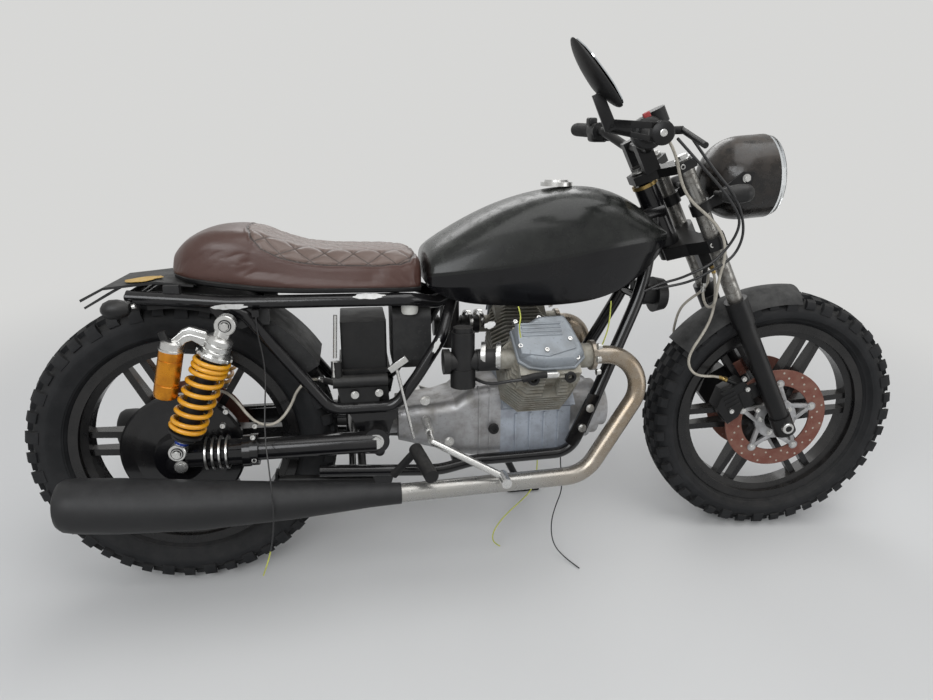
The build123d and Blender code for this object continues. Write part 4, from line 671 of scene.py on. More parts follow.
def round_mesh(name, spots, radius, material, segments=3, smoothness=8):
    """Mesh of the same wire, for pieces that are bent by two bodies or wound tightly."""
    route = round_curve(name + "_route", spots, radius, segments, smoothness)
    graph = bpy.context.evaluated_depsgraph_get()
    mesh = bpy.data.meshes.new_from_object(route.evaluated_get(graph), depsgraph=graph)
    bpy.data.objects.remove(route)
    mesh.materials.append(material)
    mesh.shade_smooth()
    piece = bpy.data.objects.new(name, mesh)
    bpy.context.scene.collection.objects.link(piece)
    return piece


def smooth_line(name, points, radius, body, material, segments=3):
    """Round cable or hose of one body, in that body's millimetres."""
    spots = [BODY_PLACE[body] @ Vector(point) for point in points]
    piece = round_curve(name, spots, radius, segments, 8)
    piece.data.materials.append(material)
    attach(piece, body)
    return piece


# Finishes of the solids that stay
NODE_FINISH = {
    "main_frame": "gloss_black", "seat_frame": "gloss_black", "cradle_rails": "gloss_black",
    "side_stand": "satin_black", "centre_stand": "satin_black",
    "fuel_tank": "tank_upper", "fuel_cap": "bright_steel", "seat": "leather",
    "rear_mudguard": "dusty_plastic", "rear_indicators": "plastic", "crankcase": "sump_alloy",
    "timing_cover": "cast_alloy", "gearbox": "cast_alloy", "cylinders": "fin_alloy",
    "cylinder_heads": "fin_alloy", "rocker_covers": "cover_alloy", "carburettors": "plastic",
    "airbox": "dusty_plastic", "battery": "plastic", "rear_master": "plastic", "headers": "header",
    "silencers": "silencer_black", "swingarm": "gloss_black", "final_drive": "gloss_black",
    "shock_bodies": "bright_steel", "shock_springs": "spring_yellow",
    "shock_reservoirs": "anodised_amber", "footrests": "rubber", "foot_pedals": "bright_steel",
    "horn": "plastic", "lower_yoke": "satin_black", "upper_yoke": "satin_black",
    "handlebar": "satin_black", "fork_stanchions": "fork_chrome", "fork_sliders": "satin_black",
    "front_mudguard": "dusty_plastic", "hand_grips": "rubber", "bar_controls": "plastic",
    "mirror": "plastic", "headlamp_shell": "lamp_shell", "headlamp_lens": "glass",
    "lamp_bracket": "satin_black", "front_indicators": "plastic", "front_calipers": "satin_black",
    "front_wheel_rim": "wheel_black", "front_tyre": "tyre", "front_discs": "disc_rust",
    "rear_wheel_rim": "wheel_black", "rear_tyre": "tyre", "rear_disc": "disc_rust",
    "rear_brake_hose": "hose_grey", "upper_brake_hose": "hose_grey", "right_brake_hose": "hose_grey",
    "left_brake_hose": "hose_grey", "rear_wire": "cable_black", "front_wire": "cable_black",
    "middle_wire": "yellow_green",
}
for name, node in nodes.items():
    finish = M[NODE_FINISH[name]]
    node.data.materials.clear()
    node.data.materials.append(finish)


def wheel_directions(angle):
    """Outwards, and along the rim, at an angle of a wheel."""
    return Vector((cos(angle), 0, sin(angle))), Vector((-sin(angle), 0, cos(angle)))


# Tyres
LUG_DEPTH = 13.0


def tyre_piece(name, body, axle, rim_half, half_width, outer, lugs):
    """Knobby tyre: a turned carcass with moulded rings, and rows of bevelled lugs."""
    bm = shape()
    across = placed(axle, (1, 0, 0), (0, 1, 0))
    seat = RIM_RADIUS - 13.4
    bead = rim_half - 6.4
    profile = [
        (seat, bead - 6), (seat, bead), (RIM_RADIUS + 1.2, bead + 0.5), (RIM_RADIUS + 4, bead + 4),
        (RIM_RADIUS + 7, bead + 6.5), (RIM_RADIUS + 8, bead + 9.5), (RIM_RADIUS + 10, bead + 10.5),
        (RIM_RADIUS + 11.5, bead + 12.5), (outer - 55, half_width - 5.5), (outer - 48, half_width - 2.8),
        (outer - 46.5, half_width - 2.8), (outer - 40, half_width - 2.6), (outer - 32, half_width - 4.5),
        (outer - 24, half_width - 12), (outer - 17, half_width * 0.62), (outer - 12, half_width * 0.34),
        (outer - 10.5, half_width * 0.12),
    ]
    profile = profile + [(radius, -y) for radius, y in reversed(profile)]
    lathe(bm, profile, across, steps=144, closed=True)

    # Lug rows: across the tread, half width, half length, height out, phase, lean
    crown = half_width * 0.16
    middle = half_width * 0.52
    for hand in (-1, 1):
        for step in range(lugs):
            base_phase = step + (0.5 if hand > 0 else 0.0)
            for offset, half_w, half_l, top, phase, lean_in in (
                (crown, half_width * 0.19, outer * pi / lugs * 0.58, outer - 1.1, 0.0, 0.03),
                (middle, half_width * 0.17, outer * pi / lugs * 0.56, outer - 4.6, 0.5, 0.35),
            ):
                angle = 2 * pi * (base_phase + phase) / lugs
                outwards, along = wheel_directions(angle)
                sideways = Vector((0, hand, 0))
                normal = (outwards * cos(lean_in) + sideways * sin(lean_in)).normalized()
                cross = along.cross(normal)
                matrix = Matrix((along, cross, normal)).transposed().to_4x4()
                centre = axle + outwards * top + sideways * offset - normal * LUG_DEPTH / 2
                matrix.translation = centre
                verts = block(bm, (2 * half_l, 2 * half_w, LUG_DEPTH), matrix)
                top_verts = [v for v in verts if (v.co - centre).dot(normal) > 0]
                bmesh.ops.scale(
                    bm, vec=(0.86, 0.86, 0.86), verts=top_verts,
                    space=Matrix.Translation(-(centre + normal * LUG_DEPTH / 2)),
                )
            # Shoulder lug: a wedge that wraps down the side
            angle = 2 * pi * base_phase / lugs
            outwards, along = wheel_directions(angle)
            long_lug = step % 2 == 0
            half_l = outer * pi / lugs * (0.56 if long_lug else 0.48)
            low = outer - (36 if long_lug else 29)
            outline = [
                (half_width * 0.76, outer - 14), (half_width * 0.8, outer - 6.5),
                (half_width * 0.93, outer - 12), (half_width - 0.2, outer - 22), (half_width - 1.2, low),
                (half_width - 6, low - 2),
            ]
            middle_plane = Matrix((Vector((0, hand, 0)), outwards, along)).transposed().to_4x4()
            middle_plane.translation = axle
            verts = plate(bm, outline, middle_plane @ Matrix.Translation((0, 0, -half_l)), 2 * half_l)
            crown_verts = [v for v in verts if (v.co - axle).dot(outwards) > outer - 24]
            bmesh.ops.scale(bm, vec=(1, 1, 0.9), verts=crown_verts, space=middle_plane.inverted())
    node = body.replace("_wheel", "_tyre")
    return finish_piece(bm, name, body, M["tyre"], [node], smooth=32)


tyre_piece("front_tyre_tread", "front_wheel", FRONT_AXLE, 36.0, 57.0, FRONT_RADIUS, 40)
tyre_piece("rear_tyre_tread", "rear_wheel", REAR_AXLE, 41.0, 60.0, REAR_RADIUS, 42)

# Tank shell
# x, half top, top z, shoulder y, z, crease y, upper z, lower z, bottom y, z
TANK_STATIONS = [
    (534, 34, 752, 84, 744, 118, 712, 694, 98, 686),
    (546, 40, 766, 92, 757, 127, 715, 693, 102, 678),
    (600, 46, 800, 98, 791, 138, 720, 691, 113, 650),
    (700, 48, 853, 101, 842, 146, 731, 697, 117, 642),
    (820, 48, 887, 103, 876, 150, 747, 713, 118, 638),
    (940, 46, 893, 100, 876, 147, 773, 743, 115, 650),
    (1030, 42, 852, 85, 821, 122, 780, 751, 99, 702),
    (1082, 38, 806, 66, 797, 82, 778, 766, 66, 748),
    (1096, 36, 794, 58, 786, 68, 777, 769, 56, 762),
]
bm = shape()
rings = []
for x, top_y, top_z, sh_y, sh_z, cr_y, up_z, low_z, bot_y, bot_z in TANK_STATIONS:
    mid_y = (sh_y + cr_y) / 2 + 8
    mid_z = (sh_z + up_z) / 2 + 8
    half = [
        (0, top_z + 4), (top_y, top_z), (sh_y, sh_z), (mid_y, mid_z), (cr_y, up_z + 4), (cr_y, up_z - 3),
        (cr_y - 3, low_z + 3), (cr_y - 4, low_z - 3), (bot_y + 4, bot_z + 6), (bot_y, bot_z), (64, bot_z),
    ]
    ring = [Vector((x, y, z)) for y, z in half] + [Vector((x, -y, z)) for y, z in reversed(half[1:])]
    rings.append(ring)
loops = bridge_rings(bm, rings)
crease_layer = bm.edges.layers.float.new("crease_edge")
count = len(rings[0])
sharp_rows = {4: 0.55, 5: 0.55, 7: 0.5, 9: 0.8, 10: 1.0}
for row, value in sharp_rows.items():
    for index in (row, count - row):
        for first, second in zip(loops, loops[1:]):
            edge = bm.edges.get((first[index], second[index]))
            if edge:
                edge[crease_layer] = value
for first, second in zip(loops, loops[1:]):
    for index in list(range(5, 10)) + list(range(count - 10, count - 5)):
        j = (index + 1) % count
        for face in first[index].link_faces:
            if first[j] in face.verts and second[index] in face.verts:
                face.material_index = 1
finish_piece(
    bm, "tank_shell", "machine", [M["tank_upper"], M["tank_lower"]], ["fuel_tank"],
    modifiers=[("SUBSURF", {"levels": 3, "render_levels": 3})], smooth=180,
)

# Seat: a skin over its foam, swelled as cloth, then quilted
# x, half width, bottom z, top z
SEAT_STATIONS = [
    (12, 40, 722, 744), (20, 66, 717, 767), (44, 94, 712, 793), (80, 110, 707, 810), (110, 117, 703, 816),
    (150, 121, 698, 814), (190, 123, 693, 806), (230, 124, 690, 789), (275, 125, 688, 774),
    (330, 126, 687, 766), (400, 126, 686, 763), (460, 122, 684, 762), (505, 112, 682, 758),
    (524, 98, 681, 752),
]
SEAT_BACK = 12
SEAT_FRONT = 524
SEAT_ROUND = 40.0
SEAT_CROWN = 2.5
SEAT_SWELL = 3.5
SEAT_SLICES = 64
# Quilting: reach and rise of a puff, how far the panel sinks, its soft edge, the piping and the seam
PUFF_REACH = 11.0
PUFF_RISE = 3.2
PANEL_DROP = 1.4
PANEL_EDGE = 9.0
PIPING_REACH = 7.0
SEAM_HALF = 2.5
SEAM_DEPTH = 1.6
# Half width of the quilted panel over the crown: x, half width along the skin
PANEL_HALF = [
    (165, -6), (170, 50), (181, 100), (200, 124), (235, 131), (280, 128), (440, 125), (480, 116), (500, 100),
    (513, 66), (520, -6),
]


def interpolate(rows, x):
    for first, second in zip(rows, rows[1:]):
        if x <= second[0]:
            t = (x - first[0]) / (second[0] - first[0])
            return [a + (b - a) * t for a, b in zip(first, second)]
    return list(rows[-1])


def smooth_rows(rows, x, reach=9.0):
    """Station values at x, averaged over a short reach so the sections flow."""
    low, high = rows[0][0], rows[-1][0]
    taken = [interpolate(rows, min(high, max(low, x + offset * reach))) for offset in (-1, -0.5, 0, 0.5, 1)]
    return [sum(values) / len(values) for values in zip(*taken)]


def seat_half_outline(half, low, high):
    """Points from the crown's middle down one side to the bottom: a rounded shoulder and a tucked base."""
    round_y = min(SEAT_ROUND, (high - low) * 0.55)
    flat = half - round_y
    points = [(flat * i / 8, high - SEAT_CROWN * (i / 8) ** 2) for i in range(8)]
    for i in range(9):
        angle = pi / 2 * i / 8
        points.append((flat + round_y * sin(angle), high - SEAT_CROWN - round_y * (1 - cos(angle))))
    start_z = high - SEAT_CROWN - round_y
    for i in range(1, 9):
        t = i / 8
        tuck = 7.0 * max(0.0, t - 0.75) / 0.25
        points.append((half + 2.5 * sin(pi * t) - tuck, start_z + (low - start_z) * t))
    return points


SEAT_ROWS = {x: smooth_rows(SEAT_STATIONS, x) for x in range(0, 541)}


def seat_arc(point):
    """Length along the skin from the crown's middle to a point, signed left and right."""
    x, half, low, high = SEAT_ROWS[round(point.x)]
    round_y = min(SEAT_ROUND, (high - low) * 0.55)
    flat = half - round_y
    out = abs(point.y) - flat
    down = high - SEAT_CROWN - round_y - point.z
    if out <= 0:
        arc = abs(point.y)
    elif down < 0:
        arc = flat + round_y * atan2(out, -down)
    else:
        arc = flat + round_y * pi / 2 + down
    return arc if point.y > 0 else -arc


def panel_inside(x, arc):
    """Distance from the quilted panel's edge, positive inside it."""
    if x < PANEL_HALF[0][0] or x > PANEL_HALF[-1][0]:
        return -20.0
    here = interpolate(PANEL_HALF, x)[1]
    slope = (interpolate(PANEL_HALF, x + 3)[1] - interpolate(PANEL_HALF, x - 3)[1]) / 6
    return (here - abs(arc)) / sqrt(1 + slope * slope)


def applied(piece):
    """Works the piece's modifiers into its mesh."""
    graph = bpy.context.evaluated_depsgraph_get()
    mesh = bpy.data.meshes.new_from_object(piece.evaluated_get(graph), depsgraph=graph)
    piece.modifiers.clear()
    piece.data = mesh


def swell_as_cloth(piece, held, pressure, cap):
    """Blows the skin up as cloth over 20 frames, with held points fixed and no point moved past cap."""
    start = [vert.co.copy() for vert in piece.data.vertices]
    group = piece.vertex_groups.new(name="held")
    group.add(held, 1.0, "ADD")
    cloth = piece.modifiers.new("cloth", "CLOTH")
    cloth.settings.vertex_group_mass = "held"
    cloth.settings.use_pressure = True
    cloth.settings.uniform_pressure_force = pressure
    cloth.settings.effector_weights.gravity = 0
    cloth.point_cache.frame_start = 1
    cloth.point_cache.frame_end = 20
    for number in range(1, 21):
        bpy.context.scene.frame_set(number)
    applied(piece)
    for vert, before in zip(piece.data.vertices, start):
        move = vert.co - before
        if move.length > cap:
            vert.co = before + move * (cap / move.length)
    piece.data.update()
    bpy.context.scene.frame_set(1)


bm = shape()
rings = []
for i in range(SEAT_SLICES + 1):
    x = SEAT_BACK + (SEAT_FRONT - SEAT_BACK) * i / SEAT_SLICES
    row = smooth_rows(SEAT_STATIONS, x, 9.0 if 2 < i < SEAT_SLICES - 2 else 1.0)
    outline = seat_half_outline(row[1] - SEAT_SWELL, row[2], row[3] - SEAT_SWELL)
    left = [Vector((x, y, z)) for y, z in outline]
    right = [Vector((x, -y, z)) for y, z in reversed(outline[1:])]
    rings.append(left + right)
bridge_rings(bm, rings)
seat = finish_piece(bm, "seat_cushion", "machine", M["leather"], ["seat"], smooth=180)
seat_voxels = seat.modifiers.new("voxels", "REMESH")
seat_voxels.mode = "VOXEL"
seat_voxels.voxel_size = 0.005
seat_voxels.use_smooth_shade = True
applied(seat)
to_upright = MACHINE.inverted()
seat_held = []
for vert in seat.data.vertices:
    place = to_upright @ vert.co
    if place.z < interpolate(SEAT_STATIONS, place.x)[2] + 9:
        seat_held.append(vert.index)
swell_as_cloth(seat, seat_held, pressure=4.0, cap=0.006)
seat_fine = seat.modifiers.new("fine", "SUBSURF")
seat_fine.levels = 1
seat_fine.render_levels = 1
applied(seat)
seat_mesh = seat.data
arcs = []
panel_values = []
quilted = []
seat_skin = [(vert.co.copy(), vert.normal.copy()) for vert in seat_mesh.vertices]
for spot, normal in seat_skin:
    place = to_upright @ spot
    arc = seat_arc(place)
    inside = panel_inside(place.x, arc)
    arcs.append((place.x, arc))
    panel_values.append(0.001 * inside)
    rise = 0.0
    if inside > 0:
        gap = min(abs(value / DIAMOND - round(value / DIAMOND)) for value in (place.x + arc, place.x - arc))
        puff = min(1.0, gap * DIAMOND / sqrt(2) / PUFF_REACH)
        rise = PUFF_RISE * (1 - (1 - puff) ** 2) * min(1.0, inside / PANEL_EDGE) - PANEL_DROP
    elif inside > -PIPING_REACH:
        rise = PANEL_DROP * sin(pi * -inside / PIPING_REACH)
    if abs(inside) < SEAM_HALF:
        rise -= SEAM_DEPTH
    quilted.extend(spot + normal * (0.001 * rise))
seat_mesh.vertices.foreach_set("co", quilted)
seat_mesh.update()
seat_map = seat_mesh.uv_layers.new(name="seat_map")
corners = [0] * len(seat_mesh.loops)
seat_mesh.loops.foreach_get("vertex_index", corners)
map_values = []
for corner in corners:
    map_values += [0.001 * arcs[corner][0], 0.001 * arcs[corner][1]]
seat_map.data.foreach_set("uv", map_values)
seat_mesh.attributes.new("inside_panel", "FLOAT", "POINT").data.foreach_set("value", panel_values)
seat_mesh.shade_smooth()

# Black pan that carries the seat
bm = shape()
rings = []
for drop, inset in ((6.0, 12.0), (2.0, 5.0), (-4.0, 3.0), (-9.0, 9.0)):
    right = []
    left = []
    for x, half, low, high in SEAT_STATIONS:
        right.append(Vector((x, -(half - inset), low - drop)))
        left.append(Vector((x, half - inset, low - drop)))
    rings.append(right + left[::-1])
bridge_rings(bm, rings)
finish_piece(bm, "seat_pan", "machine", M["plastic"])

# Silencers: turned shells
SILENCER_STATIONS = [
    (463, 257.0, 22.5), (396, 258.0, 26.0), (250, 259.0, 38.0), (46, 266.0, 51.5), (-100, 277, 55.5),
    (-180, 284.0, 54.5), (-200, 286, 52.0), (-209, 287, 46.0), (-212, 287.0, 40.0),
    (-212, 287, 27.5), (-160, 284, 27.0),
]
SILENCER_Y = 200
for hand, word in ((-1, "right"), (1, "left")):
    bm = shape()
    rings = []
    for x, z, radius in SILENCER_STATIONS:
        turns = [2 * pi * step / 48 for step in range(48)]
        rings.append([
            Vector((x, hand * SILENCER_Y + radius * cos(turn), z + radius * sin(turn))) for turn in turns
        ])
    bridge_rings(bm, rings)
    finish_piece(
        bm, f"silencer_shell_{word}", "machine", M["silencer_black"], ["silencers"],
        smooth=30,
    )

# Loose hoses and wires, on the same routes as their solids
def cord(name, points, length, body, radius, finish, slot, far_end, stiffness, lay):
    """A loose cord that stands for its solid; its real length in metres is not used."""
    piece = smooth_line(name + "_line", points, radius, body, M[finish], segments=5)
    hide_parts(name)


REAR_HOSE = [
    (312, -90, 484), (295, -73, 484), (270, -68, 478), (248, -73, 458), (236, -86, 430), (214, -99, 402),
    (190, -107, 393), (164, -110, 402), (144, -108, 424), (126, -100, 449), (106, -84, 464), (82, -64, 466),
    (52, -64, 466),
]
UPPER_HOSE = [
    (32, -162, 822), (32, -162, 796), (36, -165, 766), (34, -169, 736), (28, -168, 704), (28, -163, 672),
    (36, -155, 642), (50, -145, 614), (65, -138, 586), (77, -132, 556), (82, -128, 525), (77, -127, 497),
    (64, -125, 470), (48, -121, 446), (34, -117, 420), (20.6, -116, 393.3), (11.8, -101.9, 376),
    (8.5, -79, 369.4), (11.8, -56.1, 376), (20.6, -42, 393.3), (31.4, -42, 414.7),
]
RIGHT_HOSE = [
    (63, -39, 446), (63, -39, 422), (52, -50, 398), (36, -65, 374), (16, -76, 350), (-8, -81, 328),
    (-34, -82, 309), (-60, -82, 292), (-80, -82, 272), (-86, -82, 246), (-76, -80, 222), (-54, -75, 204),
    (-28, -69, 188), (-10, -69, 167),
]
LEFT_HOSE = [
    (56, -23, 446), (56, -23, 420), (47, -14, 396), (28, -2, 380), (2, 9, 372), (-22, 18, 360),
    (-38, 30, 338), (-48, 43, 314), (-54, 60, 292), (-55, 75, 265), (-51, 80, 236),
    (-42, 76, 208), (-28, 69, 188), (-10, 69, 167),
]
REAR_WIRE = [
    (182, -128.5, 640), (182, -128.5, 606), (190, -130, 562), (193, -135, 516), (190, -148, 470),
    (188, -169, 428), (190, -196, 390), (196, -224, 356), (200, -242, 315), (202, -248, 271),
    (199, -247, 227), (192, -242, 184), (182, -236, 144), (168, -229, 106),
]
FRONT_WIRE = [
    (862, -64, 262), (862, -64, 232), (868, -65, 196), (868, -66, 158), (855, -65, 120), (846, -64, 82),
    (846, -64, 44), (853, -68, 12), (868, -82, -8), (886, -106, -18), (901, -130, -22),
]
MIDDLE_WIRE = [
    (806, -56, 262), (806, -56, 232), (805, -57, 196), (792, -57, 160), (764, -54, 130), (734, -50, 100),
    (710, -47, 68), (698, -44, 38), (704, -42, 14), (720, -41, 4),
]
HOSE = {
    "radius": 3.25, "finish": "hose_grey", "slot": "brake_hose", "far_end": "object",
    "stiffness": "medium", "lay": "loose",
}
WIRE = {"radius": 1.5, "slot": "loose_wire", "far_end": "bare", "stiffness": "limp", "lay": "hanging"}
BARE_END = (MACHINE @ Vector((188, -240, 168))).z
M["rear_wire"] = gradient_material(
    "black_wire_yellow_end", M["cable_black"], (0.5, 0.52, 0.08), (0.01, 0.01, 0.011), BARE_END - 0.001,
    BARE_END + 0.001, 0.0, axis="Z",
)
FORK_HOSES = (
    ("upper_brake_hose", UPPER_HOSE, 0.576), ("right_brake_hose", RIGHT_HOSE, 0.380),
    ("left_brake_hose", LEFT_HOSE, 0.366),
)
cord("rear_brake_hose", REAR_HOSE, 0.352, "machine", **HOSE)
for name, rows, length in FORK_HOSES:
    cord(name, [fork_point(*row) for row in rows], length, "steering_fork", **HOSE)
cord("rear_wire", REAR_WIRE, 0.570, "machine", finish="rear_wire", **WIRE)
cord("front_wire", FRONT_WIRE, 0.342, "machine", finish="cable_black", **WIRE)
cord("middle_wire", MIDDLE_WIRE, 0.302, "machine", finish="yellow_green", **WIRE)


def hose_end(bm, at, towards, length=24.0, radius=5.2):
    """Crimped ferrule and hexagon at a hose's end."""
    at = Vector(at)
    along = (Vector(towards) - at).normalized()
    matrix = facing(at, along)
    lathe(
        bm,
        [(0.01, -3), (radius * 0.7, -3), (radius * 0.7, length * 0.3), (radius, length * 0.34),
         (radius, length * 0.5), (radius * 0.86, length * 0.54), (radius * 0.86, length * 0.62),
         (radius, length * 0.66), (radius, length * 0.84), (radius * 0.72, length), (0.01, length)],
        matrix, steps=16,
    )
    rod(bm, at + along * (length * 0.06), at + along * (length * 0.3), radius * 1.25, 6)


hose_ends = [("machine", REAR_HOSE, "rear")]
for name, rows, length in FORK_HOSES:
    hose_ends.append(("steering_fork", [fork_point(*row) for row in rows], name.split("_")[0]))
for body, route, word in hose_ends:
    bm = shape()
    hose_end(bm, route[0], route[1])
    hose_end(bm, route[-1], route[-2])
    metal = "brass" if word == "right" else "bright_steel"
    finish_piece(bm, f"{word}_hose_fittings", body, M[metal])

# Shock absorbers
SHOCK_Y = 165.0
SHOCK_TOP = Vector((129, 0, 634))
SHOCK_BOTTOM = Vector((13, 0, 372))
SHOCK_DOWN = (SHOCK_BOTTOM - SHOCK_TOP).normalized()
SPRING_TOP = 71.0
SPRING_LENGTH = 168.0
SPRING_TURNS = 9.0
RESERVOIR_TOP = Vector((26, 0, 602))
RESERVOIR_BOTTOM = Vector((0, 0, 488))


def spring_drop(turn):
    """Depth of the coil after some turns: close together at the ends, open between."""
    close = 11.0
    top_turns = 2.5
    end_turns = 1.3
    open_turns = SPRING_TURNS - top_turns - end_turns
    open_pitch = (SPRING_LENGTH - 10 - close * (top_turns + end_turns)) / open_turns
    drop = close * min(turn, top_turns)
    drop += open_pitch * min(max(turn - top_turns, 0), open_turns)
    drop += close * max(turn - top_turns - open_turns, 0)
    return SPRING_TOP + 5 + drop


for hand, word in ((-1, "right"), (1, "left")):
    y = hand * SHOCK_Y
    top = SHOCK_TOP + Vector((0, y, 0))
    bottom = SHOCK_BOTTOM + Vector((0, y, 0))
    axis = placed(top, (0, 1, 0), SHOCK_DOWN)

    coil = []
    for step in range(int(SPRING_TURNS * 24) + 1):
        turn = step / 24
        angle = 2 * pi * turn
        coil.append(axis @ Vector((32.5 * cos(angle), 32.5 * sin(angle), spring_drop(turn))))
    spring = round_mesh(
        f"shock_spring_{word}", [MACHINE @ spot for spot in coil], 5.0, M["spring_yellow"],
        segments=4, smoothness=2,
    )
    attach(spring, "machine")
    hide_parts("shock_springs")

    # Alloy body with turned bands, the eyes and the lower clevis
    bm = shape()
    lathe(bm, [
        (0.01, 12), (15, 12), (16, 24), (22, 27), (26.5, 31), (26.8, 40), (24.8, 42), (26.8, 44), (26.8, 52),
        (24.8, 54), (26.8, 56), (26.8, 62), (22, 66), (22, 72), (0.01, 72),
    ], axis, steps=40)
    for centre, radius, wide in ((top, 20.5, 13.0), (bottom, 17.5, 13.0)):
        across = facing(centre, (0, 1, 0))
        lathe(bm, [
            (radius * 0.62, -wide), (radius - 1.5, -wide), (radius, -wide + 1.5), (radius, wide - 1.5),
            (radius - 1.5, wide), (radius * 0.62, wide),
        ], across, steps=32, closed=True)
    neck = placed(top + SHOCK_DOWN * 19, (0, 1, 0), SHOCK_DOWN)
    block(bm, (24, 30, 14), neck, bevel=3)
    lathe(bm, [
        (0.01, 248), (13, 248), (14, 251), (14, 262), (11, 264), (11, 272), (0.01, 272),
    ], axis, steps=28)
    finish_piece(bm, f"shock_body_{word}", "machine", M["bright_steel"], ["shock_bodies"])

    # Notched ring on the spring
    bm = shape()
    lathe(bm, [(23, 62), (33, 62), (34, 64), (34, 69), (33, 71), (23, 71)], axis, steps=48, closed=True)
    for step in range(12):
        turn = Matrix.Rotation(2 * pi * step / 12, 4, "Z")
        block(bm, (5, 7, 7), axis @ turn @ Matrix.Translation((34, 0, 66.5)), bevel=1)
    finish_piece(bm, f"spring_ring_{word}", "machine", M["bright_steel"])

    bm = shape()
    lathe(bm, [(0.01, 71), (20, 71), (20, 238), (0.01, 238)], axis, steps=32)
    lathe(bm, [
        (0.01, 239), (35, 239), (35, 244), (24.5, 246), (24.5, 250), (22, 251), (24.5, 252), (24.5, 256),
        (0.01, 256),
    ], axis, steps=36)
    for centre in (top, bottom):
        across = facing(centre, (0, 1, 0))
        lathe(bm, [(5, -14), (12.5, -14), (12.5, 14), (5, 14)], across, steps=28, closed=True)
    rod(bm, RESERVOIR_TOP + Vector((-12, y, 2)), RESERVOIR_TOP + Vector((-18, y, 22)), 8, 18)
    finish_piece(bm, f"shock_rubber_{word}", "machine", M["plastic"])

    bm = shape()
    lathe(bm, [(10.8, 262), (14.6, 262), (14.6, 267), (10.8, 267)], axis, steps=28, closed=True)
    finish_piece(bm, f"shock_blue_ring_{word}", "machine", M["blue_ring"])

    bm = shape()
    for centre in (top, bottom):
        hexagon_bolt(bm, centre + Vector((0, hand * 14, 0)), (0, hand, 0), 8.5, 7)
    finish_piece(bm, f"shock_bolts_{word}", "machine", M["bright_steel"])

    # Reservoir with grooves, its alloy cap and the bridge to the body
    can = placed(RESERVOIR_TOP + Vector((0, y, 0)), (0, 1, 0), RESERVOIR_BOTTOM - RESERVOIR_TOP)
    long = (RESERVOIR_BOTTOM - RESERVOIR_TOP).length
    bm = shape()
    lathe(bm, [
        (0.01, 16), (23, 16), (23.5, 18), (23.5, 34), (22.4, 35), (23.5, 36), (23.5, 84), (22.2, 85.5),
        (23.5, 87), (23.5, long - 10), (21, long - 3), (16, long), (0.01, long),
    ], can, steps=40)
    finish_piece(
        bm, f"reservoir_{word}", "machine", M["anodised_amber"], ["shock_reservoirs"],
    )
    bm = shape()
    lathe(bm, [
        (0.01, -4), (18, -4), (22, -1), (22.5, 12), (24.5, 13), (24.5, 16.5), (0.01, 16.5),
    ], can, steps=40)
    bridge = [
        (22, 604), (46, 628), (62, 634), (94, 622), (92, 604), (84, 592), (64, 606), (52, 602), (36, 584),
    ]
    plate(bm, bridge, side(y + 9), 18, bevel=3, segments=3)
    for offset in (-5.5, 5.5):
        ridge = [(28, 604 + offset), (50, 621 + offset), (62, 624 + offset), (90, 614 + offset)]
        for first, second in zip(ridge, ridge[1:]):
            rod(bm, (first[0], y + hand * 9, first[1]), (second[0], y + hand * 9, second[1]), 1.8, 8)
    finish_piece(bm, f"reservoir_bridge_{word}", "machine", M["bright_steel"])

# Front discs: rusty drilled bands on pale carriers
DISC_INNER = 88.5
DISC_OUTER = 130.5
CARRIER_ARMS = 5


def at_angle(centre, radius, angle, y):
    return centre + Vector((radius * cos(angle), y, radius * sin(angle)))


for hand, word in ((-1, "right"), (1, "left")):
    centre = FRONT_AXLE
    across = placed(centre, (1, 0, 0), (0, hand, 0))
    bm = shape()
    lathe(bm, [
        (DISC_INNER, 54.5), (DISC_INNER + 0.7, 54), (DISC_OUTER - 0.7, 54), (DISC_OUTER, 54.5),
        (DISC_OUTER, 58.5), (DISC_OUTER - 0.7, 59), (DISC_INNER + 0.7, 59), (DISC_INNER, 58.5),
    ], across, steps=96, closed=True)
    finish_piece(bm, f"front_disc_band_{word}", "front_wheel", M["disc_rust"], ["front_discs"])

    bm = shape()
    for step in range(45):
        angle = 2 * pi * step / 45
        radius = (97.0, 109.5, 122.0)[step % 3]
        spot = at_angle(centre, radius, angle, hand * 54)
        rod(bm, spot, spot + Vector((0, hand * 5.5, 0)), 2.6, 10)
    finish_piece(bm, f"front_disc_holes_{word}", "front_wheel", M["hose_grey"])

    bm = shape()
    ring = [(30, 51.5), (52, 51.5), (54, 53), (54, 60), (52, 61.5), (30, 61.5)]
    lathe(bm, ring, across, steps=60, closed=True)
    for arm in range(CARRIER_ARMS):
        middle = 2 * pi * arm / CARRIER_ARMS + radians(20)
        tip = at_angle(centre, 94, middle, hand * 57)
        for spread in (-0.42, 0.42):
            root = at_angle(centre, 49, middle + spread, hand * 57)
            along = tip - root
            strut = placed((root + tip) / 2, along, (0, hand, 0))
            block(bm, (along.length, 11, 9), strut, bevel=2)
        rod(bm, tip + Vector((0, -hand * 5.5, 0)), tip + Vector((0, hand * 5.5, 0)), 11, 24)
    finish_piece(bm, f"front_disc_carrier_{word}", "front_wheel", M["cast_alloy"])

    bm = shape()
    for arm in range(CARRIER_ARMS):
        middle = 2 * pi * arm / CARRIER_ARMS + radians(20)
        hexagon_bolt(bm, at_angle(centre, 94, middle, hand * 62), (0, hand, 0), 6, 3)
        hexagon_bolt(bm, at_angle(centre, 40, middle + 0.3, hand * 61), (0, hand, 0), 5.5, 4)
    finish_piece(bm, f"front_disc_bolts_{word}", "front_wheel", M["bright_steel"])

